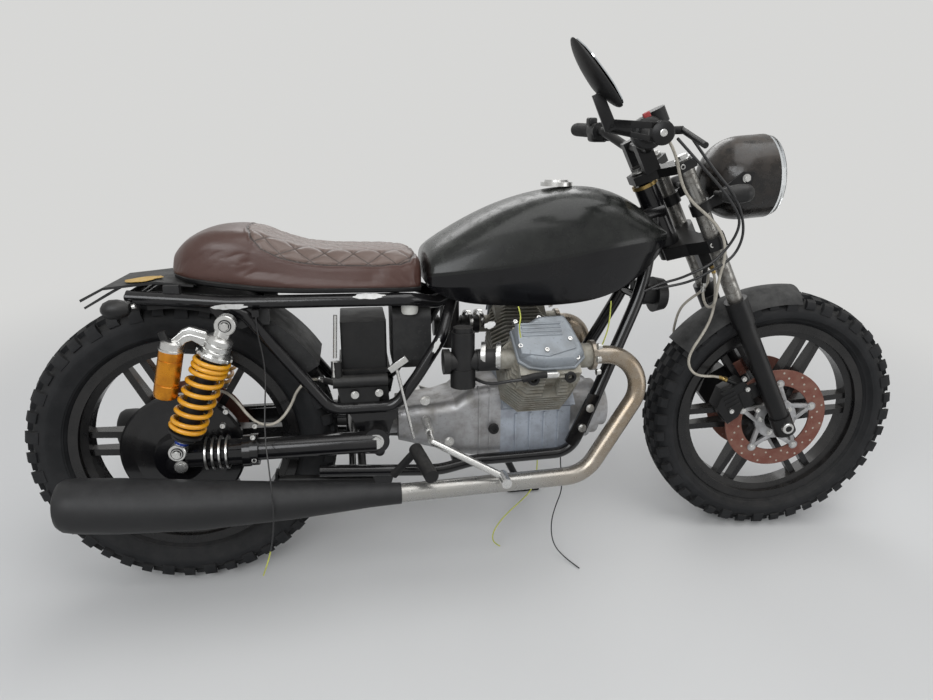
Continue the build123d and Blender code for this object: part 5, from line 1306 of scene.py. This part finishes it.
# Rear disc on the left side
across = placed(REAR_AXLE, (1, 0, 0), (0, 1, 0))
bm = shape()
lathe(bm, [(80, 58.5), (121, 58), (121, 63), (80, 62.5)], across, steps=96, closed=True)
finish_piece(bm, "rear_disc_band", "rear_wheel", M["disc_rust"], ["rear_disc"])
bm = shape()
lathe(bm, [(36, 55), (58, 55), (58, 63), (36, 63)], across, steps=60, closed=True)
for arm in range(6):
    angle = 2 * pi * arm / 6
    middle = REAR_AXLE + Vector((70 * cos(angle), 60, 70 * sin(angle)))
    block(bm, (34, 15, 6), placed(middle, (cos(angle), 0, sin(angle)), (0, 1, 0)), bevel=1.5)
finish_piece(bm, "rear_disc_carrier", "rear_wheel", M["cast_alloy"])

# Rocker covers: stepped shells with a raised panel, ribs and socket bolts
COVER_OUTLINE = [
    (704, 45), (711, -30), (732, -46), (762, -52), (832, -50), (857, -27), (856, -10), (840, 47), (828, 74),
    (765, 72), (738, 56),
]
COVER_PANEL = [(712, 48), (708, 8), (710, -28), (770, -38), (836, -20), (832, 8), (812, 50)]
COVER_MIDDLE = Vector((780, 10))
PANEL_MIDDLE = Vector((772, 5))
CRANK_Z = 372.0
# The left cylinder stands ahead of the right one
LEFT_CYLINDER_AHEAD = 20


def cylinder_ahead(hand):
    return LEFT_CYLINDER_AHEAD if hand > 0 else 0


def bore_point(hand, x, s, d):
    """Point of a cylinder's own frame: along the machine, up across the bore and out along it."""
    return Vector((x + cylinder_ahead(hand), hand * (d - s) / sqrt(2), CRANK_Z + (d + s) / sqrt(2)))


def bore_dir(hand):
    return Vector((0, hand, 1)).normalized()


for hand, word in ((-1, "right"), (1, "left")):
    out = bore_dir(hand)
    bm = shape()
    rings = []
    for d, scale in ((266, 1.0), (274, 1.0), (275, 0.95), (288, 0.93), (297, 0.86), (300, 0.8)):
        ring = []
        for x, cross in COVER_OUTLINE:
            spot = COVER_MIDDLE + (Vector((x, cross)) - COVER_MIDDLE) * scale
            ring.append(bore_point(hand, spot.x, spot.y, d))
        rings.append(ring)
    bridge_rings(bm, rings)
    finish_piece(
        bm, f"rocker_cover_{word}", "machine", M["cover_alloy"], ["rocker_covers"], smooth=40,
        modifiers=[("BEVEL", {"width": 0.0035, "segments": 3, "limit_method": "ANGLE", "angle_limit": 0.4})],
    )
    bm = shape()
    low_ring = [bore_point(hand, x, cross, 292) for x, cross in COVER_PANEL]
    top_ring = []
    for x, cross in COVER_PANEL:
        spot = PANEL_MIDDLE + (Vector((x, cross)) - PANEL_MIDDLE) * 0.93
        top_ring.append(bore_point(hand, spot.x, spot.y, 302.5))
    bridge_rings(bm, [low_ring, top_ring])
    for cross in (43, 34, 25, 16):
        start = bore_point(hand, 722, cross, 302)
        end = bore_point(hand, 808, cross, 302)
        rod(bm, start, end, 3.2, 12)
    finish_piece(
        bm, f"rocker_panel_{word}", "machine", M["cover_alloy"], smooth=40,
        modifiers=[("BEVEL", {"width": 0.0015, "segments": 2, "limit_method": "ANGLE", "angle_limit": 0.5})],
    )
    bm = shape()
    for x, cross, d in (
        (714, -8, 300), (768, -21, 302), (822, 3, 302), (713, 52, 297), (768, 64, 290), (834, -36, 290),
    ):
        socket_bolt(bm, bore_point(hand, x, cross, d), out, 5.2, 4.0)
    for z in (569, 541, 513):
        hexagon_bolt(bm, (884 + cylinder_ahead(hand), hand * 214, z), (1, 0, 0), 6.0, 8)
    finish_piece(bm, f"head_bolts_{word}", "machine", M["bright_steel"])

    # Plug cap, boot and lead
    bm = shape()
    cap_out = bore_point(hand, 790, -61, 268)
    cap_in = bore_point(hand, 768, -61, 268)
    rod(bm, cap_out, cap_in, 7.5, 20)
    rod(bm, cap_out, bore_point(hand, 793, -52, 246), 6, 16)
    finish_piece(bm, f"plug_cap_{word}", "machine", M["bright_steel"])
    boot = [
        cap_in, bore_point(hand, 752, -61, 268), bore_point(hand, 736, -63, 267),
        bore_point(hand, 716, -66, 262),
    ]
    smooth_line(f"plug_boot_{word}", boot, 7.0, "machine", M["rubber"], segments=4)
    lead = [
        boot[-1], (692, hand * 222, 506), (664, hand * 208, 496), (638, hand * 182, 492),
        (620, hand * 150, 500),
    ]
    smooth_line(f"plug_lead_{word}", lead, 3.6, "machine", M["cable_black"], segments=4)
    bm = shape()
    for x, cross in ((742, -60), (822, -58)):
        spot = bore_point(hand, x, cross, 252)
        lathe(
            bm, [(6, 0), (12, 0), (12.5, 2), (12.5, 10), (10.5, 12), (7, 12), (6, 8)],
            facing(spot, bore_point(hand, x, cross - 10, 262) - spot), steps=20, closed=True,
        )
    finish_piece(bm, f"plug_wells_{word}", "machine", M["rubber"])

    # Steel bands on the intake rubber
    bm = shape()
    inlet = Vector((668 + cylinder_ahead(hand), hand * 165, 546))
    way = Vector((1, hand * 0.25, 0)).normalized()
    for offset in (-20, 12):
        spot = inlet + way * offset
        lathe(bm, [(25, -5), (29, -5), (29.5, 0), (29, 5), (25, 5)], facing(spot, way), steps=32, closed=True)
    finish_piece(bm, f"intake_bands_{word}", "machine", M["bright_steel"])

# Bolts of the engine, frame, drive and calipers
bm = shape()
for x, y, z, radius in (
    (907, -127, 397, 8), (890, -127, 349, 8), (528, -104, 430, 9), (582, -104, 327, 9), (11, -151, 331, 11),
):
    hexagon_bolt(bm, (x, y, z), (0, -1, 0), radius, 6)
for hand in (-1, 1):
    hexagon_bolt(bm, (415, hand * 134, 351), (0, hand, 0), 14, 7)
for x, y, z in ((159, -148, 387), (164, -140, 409), (158, -148, 335), (107, -131, 441), (98, -131, 410)):
    socket_bolt(bm, (x, y, z), (0, -1, 0), 6, 6)
for x, z in ((374, 457), (426, 459)):
    hexagon_bolt(bm, (x, -118, z), (0, -1, 0), 7, 6)
finish_piece(bm, "machine_bolts", "machine", M["bright_steel"])
bm = shape()
plug = facing((685, -108, 352), (0, -1, 0))
lathe(bm, [(0.01, 0), (5, 0), (6, 3), (11, 3), (12, 0), (12.5, -6), (0.01, -6)], plug, steps=28)
lathe(bm, [(0.01, 7.6), (6.5, 7.6), (6.5, 6)], facing((415, -134, 351), (0, -1, 0)), steps=20)
finish_piece(bm, "level_plug", "machine", M["rubber"])

bm = shape()
for hand in (-1, 1):
    for x, z in ((1324, 436), (1336, 409), (1370, 352), (1303, 351)):
        socket_bolt(bm, (x, hand * 80.5, z), (0, hand, 0), 6.5, 5)
    cap = facing((1434, hand * 118, 318), (0, hand, 0))
    lathe(bm, [(0.01, 3), (7, 3), (8, 7), (12.5, 7), (14, 5), (14, -4), (0.01, -4)], cap, steps=32)
finish_piece(bm, "caliper_bolts", "steering_fork", M["bright_steel"])
bm = shape()
for hand in (-1, 1):
    for step in range(6):
        spot = Vector((1280 + step * 5.5, hand * 80.5, 414 - step * 10))
        rib = placed(spot, FORK_FORWARD, (0, 1, 0)) @ Matrix.Rotation(pi / 2, 4, "X")
        block(bm, (34, 4, 5), rib, bevel=1.2)
    block(bm, (46, 30, 8), placed((1338, hand * 79, 382), FORK_AXIS, (0, hand, 0)), bevel=3)
finish_piece(bm, "caliper_ribs", "steering_fork", M["satin_black"])

# Polished ribs on the spout of the final drive
bm = shape()
for x in (60, 74, 88, 102):
    spout = placed((x, -121, 345), (0, 0, 1), (1, 0, 0))
    lathe(bm, [(33.6, -2.6), (36, -1.8), (36, 1.8), (33.6, 2.6)], spout, steps=32, closed=True)
finish_piece(bm, "drive_ribs", "machine", M["bright_steel"])

# Mirror: shell, glass and slotted arm at the right bar end, and the bar's end weight
MIRROR_TOP = Vector((793, -338, 1166))
MIRROR_FOOT = Vector((889, -338, 1056))
mirror_along = MIRROR_FOOT - MIRROR_TOP
mirror_out = Vector((-mirror_along.z, 0, mirror_along.x)).normalized()
bm = shape()
rings = []
for t, wide, deep in (
    (0.0, 6, 3), (0.05, 18, 9), (0.18, 33, 15), (0.36, 41, 20), (0.55, 43, 22), (0.68, 41, 23),
    (0.76, 37, 17), (0.9, 28, 13), (0.98, 15, 8), (1.0, 7, 4),
):
    middle = MIRROR_TOP + mirror_along * t
    ring = []
    for step in range(13):
        angle = pi * step / 12
        ring.append(middle + Vector((0, wide * cos(angle), 0)) - mirror_out * (deep * sin(angle)))
    rings.append(ring)
bridge_rings(bm, rings)
finish_piece(
    bm, "mirror_shell", "steering_fork", M["plastic"], ["mirror"], smooth=40,
    modifiers=[("SUBSURF", {"levels": 1, "render_levels": 1})],
)
bm = shape()
glass_plane = placed(MIRROR_TOP + mirror_out * 0.5, mirror_along, mirror_out)
long = mirror_along.length
glass = [
    (t * long, hand * wide) for hand, rows in (
        (1, ((0.05, 12), (0.18, 29), (0.36, 37), (0.55, 39), (0.7, 37), (0.9, 24), (0.97, 10))),
        (-1, ((0.97, 10), (0.9, 24), (0.7, 37), (0.55, 39), (0.36, 37), (0.18, 29), (0.05, 12))),
    ) for t, wide in rows
]
plate(bm, glass, glass_plane, 2.0)
finish_piece(bm, "mirror_glass", "steering_fork", M["mirror"])
bm = shape()
for outline in (
    [(834, 1072), (862, 1012), (882, 1022), (852, 1080)],
    [(862, 1012), (970, 992), (970, 1002), (880, 1018)],
    [(872, 1034), (970, 1029), (970, 1019), (880, 1018)],
    [(864, 1013), (908, 1004), (908, 1032), (872, 1034)],
    [(942, 997), (970, 992), (970, 1029), (942, 1030)],
):
    plate(bm, outline, side(-333), 8, bevel=1.0)
rod(bm, (846, -337, 1074), (852, -337, 1086), 6, 16)
finish_piece(bm, "mirror_arm", "steering_fork", M["satin_black"])


def bar_line(hand):
    """Inner and outer end of the straight part of a bar, and its direction outwards."""
    inner = fork_point(-4, hand * 150, 816)
    outer = fork_point(-26, hand * 330, 830)
    return inner, outer, (outer - inner).normalized()


bar_in, bar_out, bar_way = bar_line(-1)
bar_end = facing(bar_out, bar_way)
bm = shape()
lathe(bm, [
    (0.01, 0), (21, 0), (22, 2), (22, 6), (19, 7), (19, 9), (20.5, 10), (20.5, 14), (17, 16), (0.01, 16),
], bar_end, steps=40)
finish_piece(bm, "bar_end_weight", "steering_fork", M["satin_black"])
bm = shape()
socket_bolt(bm, bar_out + bar_way * 16, bar_way, 6.5, 1.5)
finish_piece(bm, "bar_end_bolt", "steering_fork", M["bright_steel"])

# Throttle housing with its red button, left switch cluster and lever blades
bm = shape()
housing = facing(bar_in + bar_way * 40, bar_way)
lathe(bm, [
    (0.01, -20), (26, -20), (31, -16), (33, -6), (33, 8), (30, 16), (24, 20), (0.01, 20),
], housing, steps=36)
block(bm, (30, 38, 34), placed(fork_point(16, -200, 812), (1, 0, 0), bar_way), bevel=7, segments=4)
block(bm, (26, 20, 26), placed(fork_point(-24, -192, 838), (1, 0, 0), bar_way), bevel=6, segments=3)
finish_piece(bm, "throttle_housing", "steering_fork", M["plastic"])
bm = shape()
block(bm, (15, 9, 12), placed(fork_point(0, -200, 852), (1, 0, 0), FORK_AXIS), bevel=2.5, segments=3)
finish_piece(bm, "stop_button", "steering_fork", M["red_cap"])
bm = shape()
left_in, left_out, left_way = bar_line(1)
for size, reach, x, z, bevel, segments in (
    ((44, 46, 40), 40, 2, -4, 9, 4), ((22, 20, 26), 44, -14, 22, 5, 3), ((26, 16, 30), 34, 24, -16, 5, 3),
):
    spot = left_in + left_way * reach + Vector((x, 0, z))
    block(bm, size, placed(spot, (1, 0, 0), left_way), bevel=bevel, segments=segments)
finish_piece(bm, "left_switches", "steering_fork", M["plastic"])
for hand, word in ((-1, "right"), (1, "left")):
    start, end, way = bar_line(hand)
    bm = shape()
    for step in range(14):
        spot = start + way * (66 + step * 8)
        rib = [(15, -3.4), (17.4, -2.4), (17.4, 2.4), (15, 3.4)]
        lathe(bm, rib, facing(spot, way), steps=24, closed=True)
    finish_piece(bm, f"grip_ribs_{word}", "steering_fork", M["rubber"])

# Indicators: rounded lamps on short stalks
for hand, word in ((-1, "right"), (1, "left")):
    bm = shape()
    lamp = placed((1172, hand * 152, 884), (0, 1, 0), (1, 0, 0.08))
    lathe(bm, [(0.01, 0), (8, 1), (14, 8), (18.5, 22), (20.5, 42), (19.5, 56), (0.01, 56)], lamp, steps=36)
    finish_piece(
        bm, f"front_indicator_{word}", "steering_fork", M["plastic"], ["front_indicators"],
    )
    bm = shape()
    lathe(bm, [(19.3, 56), (18, 64), (12, 71), (0.01, 73)], lamp, steps=36)
    finish_piece(bm, f"front_indicator_lens_{word}", "steering_fork", M["plastic"])
    bm = shape()
    rod(bm, (1190, hand * 134, 884), (1186, hand * 100, 884), 6, 16)
    finish_piece(bm, f"front_indicator_stalk_{word}", "steering_fork", M["rubber"])
    bm = shape()
    lamp = placed((-44, hand * 160, 672), (0, 1, 0), (-1, 0, -0.06))
    lathe(bm, [(0.01, 0), (9, 1), (15, 7), (19, 22), (19, 36), (14, 47), (6, 53), (0.01, 54)], lamp, steps=36)
    finish_piece(bm, f"rear_indicator_{word}", "machine", M["plastic"], ["rear_indicators"])
    bm = shape()
    rod(bm, (-66, hand * 144, 671), (-60, hand * 116, 672), 6, 16)
    rod(bm, (-40, hand * 160, 674), (-34, hand * 160, 676), 5, 12)
    finish_piece(bm, f"rear_indicator_stalk_{word}", "machine", M["bright_steel"])

# Headlamp pivot bolts
bm = shape()
for hand in (-1, 1):
    hexagon_bolt(bm, (1250, hand * 104, 916), (0, hand, 0), 7.5, 6)
finish_piece(bm, "headlamp_bolts", "steering_fork", M["bright_steel"])

# Yoke bolts, caps of the legs, and the ring of the steering head
LEG_AHEAD = 70
LEG_SIDE = 92
YOKE_SIDE = 112
YOKE_TOP = 718
YOKE_HEIGHTS = (516, 706)
bm = shape()
for hand in (-1, 1):
    for axial in YOKE_HEIGHTS:
        socket_bolt(bm, fork_point(LEG_AHEAD - 12, hand * YOKE_SIDE, axial), (0, hand, 0), 6, 4)
    hexagon_bolt(bm, fork_point(LEG_AHEAD, hand * LEG_SIDE, YOKE_TOP), FORK_AXIS, 14, 8)
hexagon_bolt(bm, fork_point(0, 0, YOKE_TOP), FORK_AXIS, 17, 10)
finish_piece(bm, "yoke_bolts", "steering_fork", M["bright_steel"])
bm = shape()
head_top = facing(fork_point(0, 0, 684), FORK_AXIS)
lathe(bm, [(24, -4), (29.5, -4), (29.5, 4), (24, 4)], head_top, steps=40, closed=True)
finish_piece(bm, "head_ring", "machine", M["brass"])

# Painted highlight on the rail, mustard patch, filler neck, rod and small parts of the middle
bm = shape()
neck = placed((499, -84, 0), (1, 0, 0), (0, 0, 1))
lathe(bm, [(0.01, 658), (17, 658), (18.5, 656), (18.5, 632), (16, 626), (0.01, 626)], neck, steps=32)
finish_piece(bm, "filler_cap", "machine", M["white_cap"])
bm = shape()
rod(bm, (340, -100, 631), (335, -100, 537), 4.2, 14)
rod(bm, (335, -102, 530), (334, -104, 512), 9, 6)
rod(bm, (334, -104, 512), (332, -106, 490), 6.5, 16)
rod(bm, (465, -128, 513), (499, -133, 352), 3.6, 12)
block(bm, (46, 15, 4), placed((468, -128, 524), (cos(0.6), 0, sin(0.6)), (0, -1, 0)), bevel=1.5)
finish_piece(bm, "brake_rod", "machine", M["bright_steel"])


def ragged_patch(name, centre, along, normal, long, wide, finish, seed):
    """Thin ragged patch: a round outline pushed in and out by noise. The white ones on the frame tubes are
    painted highlights.
    """
    points = []
    for step in range(36):
        angle = 2 * pi * step / 36
        push = 1 + 0.35 * noise.noise(Vector((cos(angle) * 2.2 + seed, sin(angle) * 2.2, seed)))
        points.append((long / 2 * cos(angle) * push, wide / 2 * sin(angle) * push))
    bm = shape()
    plate(bm, points, placed(centre, along, normal), 1.2)
    return finish_piece(bm, name, "machine", M[finish])


# Thin white strip along the top of the seat rail: a painted highlight
ragged_patch("painted_highlight_rail", (411, -121, 673.5), (1, 0, 0), (0, -0.75, 0.66), 62, 14, "white_tag_and_highlight", 1.7)
ragged_patch("mustard_patch_tail", (-42, -62, 711), (1, 0, 0.09), (-0.09, 0, 1), 76, 56, "mustard", 3.3)

# Loose thin wires of the frame, a torn tag below the tank, and painted highlights on the rail's lower side
# and a frame tube
smooth_line(
    "down_tube_wire", [(953, -100, 642), (950, -108, 600), (941, -112, 562), (933, -106, 535)], 1.6,
    "machine", M["yellow_green"],
)
smooth_line(
    "rocker_wire", [(701, -244, 668), (706, -252, 650), (700, -254, 628), (707, -246, 605)], 1.4,
    "machine", M["yellow_green"],
)
ragged_patch("torn_tag", (664, -150, 609), (1, 0, 0.3), (0, -1, 0.2), 26, 14, "white_tag_and_highlight", 9.1)
# Thin white strips along the rail's lower side by the gusset and along a frame tube: painted highlights
ragged_patch("painted_highlight_gusset", (130, -123.4, 661), (1, 0, 0), (0, -1, -0.35), 66, 12, "white_tag_and_highlight", 4.1)
ragged_patch("painted_highlight_tube", (552, -128, 562), (0.42, 0, 0.9), (0, -1, 0.2), 32, 11, "white_tag_and_highlight", 7.3)

# Control cables from the bars to the frame: their upper part follows the turned fork, their lower part the
# frame
CABLES = (
    [(1054, -230, 1015), (1079, -220, 990), (1112, -205, 957), (1148, -190, 923), (1181, -178, 894),
     (1208, -165, 861), (1230, -150, 820), (1237, -140, 785), (1229, -132, 750), (1205, -130, 726),
     (1173, -126, 708), (1144, -115, 688), (1116, -90, 672), (1063, -70, 660)],
    [(1040, -222, 1000), (1100, -200, 950), (1170, -176, 890), (1215, -160, 838), (1221, -148, 803),
     (1207, -136, 764), (1174, -128, 725), (1141, -118, 706), (1115, -95, 687), (1089, -75, 676),
     (1048, -60, 654)],
)
for number, route in enumerate(CABLES):
    top_z, low_z = route[0][2], route[-1][2]
    spots = []
    for point in route:
        drop = (top_z - point[2]) / (top_z - low_z)
        weight = drop * drop * (3 - 2 * drop)
        spots.append((STEERED @ Vector(point)).lerp(MACHINE @ Vector(point), weight))
    cable = round_mesh(f"control_cable_{number + 1}", spots, 3.0, M["cable_black"])
    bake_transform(cable)

# Stage: a floor whose far part fades into the colour behind it
STAGE_TONE = (0.68, 0.68, 0.67, 1)
bm = shape()
bmesh.ops.create_grid(bm, x_segments=1, y_segments=1, size=9.0, matrix=Matrix.Translation((0, 0, -0.0005)))
mesh = bpy.data.meshes.new("studio_floor")
bm.to_mesh(mesh)
bm.free()
floor = bpy.data.objects.new("studio_floor", mesh)
bpy.context.scene.collection.objects.link(floor)


def seen_mask(tree):
    """1 for a ray from the camera, off a mirror-like surface or through glass."""
    rays = tree.nodes.new("ShaderNodeLightPath").outputs
    mirrored = node_math(tree, "MAXIMUM", rays["Is Camera Ray"], rays["Is Glossy Ray"])
    return node_math(tree, "MAXIMUM", mirrored, rays["Is Transmission Ray"])


floor_material = bpy.data.materials.new("pale_floor")
floor_material.use_nodes = True
floor_tree = floor_material.node_tree
floor_shader = floor_tree.nodes["Principled BSDF"]
floor_shader.inputs["Base Color"].default_value = (0.62, 0.62, 0.61, 1)
floor_shader.inputs["Roughness"].default_value = 0.9
floor_shader.inputs["Specular IOR Level"].default_value = 0.1
floor_coords = floor_tree.nodes.new("ShaderNodeTexCoord")
floor_reach = floor_tree.nodes.new("ShaderNodeVectorMath")
floor_reach.operation = "LENGTH"
floor_tree.links.new(floor_coords.outputs["Object"], floor_reach.inputs[0])
fade = node_range(floor_tree, floor_reach.outputs["Value"], 1.25, 2.6)
fade_seen = node_math(floor_tree, "MULTIPLY", fade, seen_mask(floor_tree))
floor_glow = floor_tree.nodes.new("ShaderNodeEmission")
floor_glow.inputs["Color"].default_value = STAGE_TONE
floor_mix = floor_tree.nodes.new("ShaderNodeMixShader")
floor_tree.links.new(fade_seen, floor_mix.inputs[0])
floor_tree.links.new(floor_shader.outputs[0], floor_mix.inputs[1])
floor_tree.links.new(floor_glow.outputs[0], floor_mix.inputs[2])
floor_tree.links.new(floor_mix.outputs[0], floor_tree.nodes["Material Output"].inputs["Surface"])
mesh.materials.append(floor_material)

# Light
world = bpy.data.worlds.new("studio")
bpy.context.scene.world = world
world.use_nodes = True
world_tree = world.node_tree
background = world_tree.nodes["Background"]
background.inputs["Color"].default_value = (0.93, 0.95, 1.0, 1)
background.inputs["Strength"].default_value = 0.42
seen = world_tree.nodes.new("ShaderNodeBackground")
seen.inputs["Color"].default_value = STAGE_TONE
seen.inputs["Strength"].default_value = 1.0
mix = world_tree.nodes.new("ShaderNodeMixShader")
world_tree.links.new(seen_mask(world_tree), mix.inputs[0])
world_tree.links.new(background.outputs[0], mix.inputs[1])
world_tree.links.new(seen.outputs[0], mix.inputs[2])
world_tree.links.new(mix.outputs[0], world_tree.nodes["World Output"].inputs[0])


def area_light(name, at, aim, size, power, color=(1, 1, 1)):
    data = bpy.data.lights.new(name, "AREA")
    data.shape = "RECTANGLE"
    data.size = size[0]
    data.size_y = size[1]
    data.energy = power
    data.color = color
    light = bpy.data.objects.new(name, data)
    light.location = at
    light.rotation_euler = (Vector(aim) - Vector(at)).to_track_quat("-Z", "Y").to_euler()
    bpy.context.scene.collection.objects.link(light)


area_light("window", (-1.6, -2.6, 2.6), (0, 0, 0.4), (2.4, 1.6), 62, (0.96, 0.98, 1.0))
area_light("ceiling", (0.6, -0.4, 3.2), (0, 0, 0.3), (3.0, 2.0), 42)
area_light("fill", (2.6, -1.8, 1.2), (0.2, 0, 0.5), (1.6, 1.6), 14)
area_light("behind", (0.2, 2.8, 2.2), (0, 0, 0.5), (2.6, 1.2), 24)

# Camera, solved from both wheels
CAMERA_AT = Vector((373.5, -1526.5, 950.2))
CAMERA_YAW = radians(-9.88)
CAMERA_PITCH = radians(15.75)
CAMERA_ROLL = radians(0.18)
FOCAL_PIXELS = 678.44
PHOTO_WIDTH = 933.0
camera_data = bpy.data.cameras.new("camera")
camera_data.sensor_fit = "HORIZONTAL"
camera_data.sensor_width = 36.0
camera_data.lens = 36.0 * FOCAL_PIXELS / PHOTO_WIDTH
camera_data.clip_end = 50
camera = bpy.data.objects.new("camera", camera_data)
bpy.context.scene.collection.objects.link(camera)
look = (
    Matrix.Rotation(CAMERA_YAW, 4, "Z")
    @ Matrix.Rotation(pi / 2 - CAMERA_PITCH, 4, "X")
    @ Matrix.Rotation(CAMERA_ROLL, 4, "Z")
)
camera.matrix_world = Matrix.Translation(MACHINE @ CAMERA_AT) @ (lean_turn @ look).to_3x3().to_4x4()
bpy.context.scene.camera = camera
bpy.context.scene.view_settings.view_transform = "Standard"
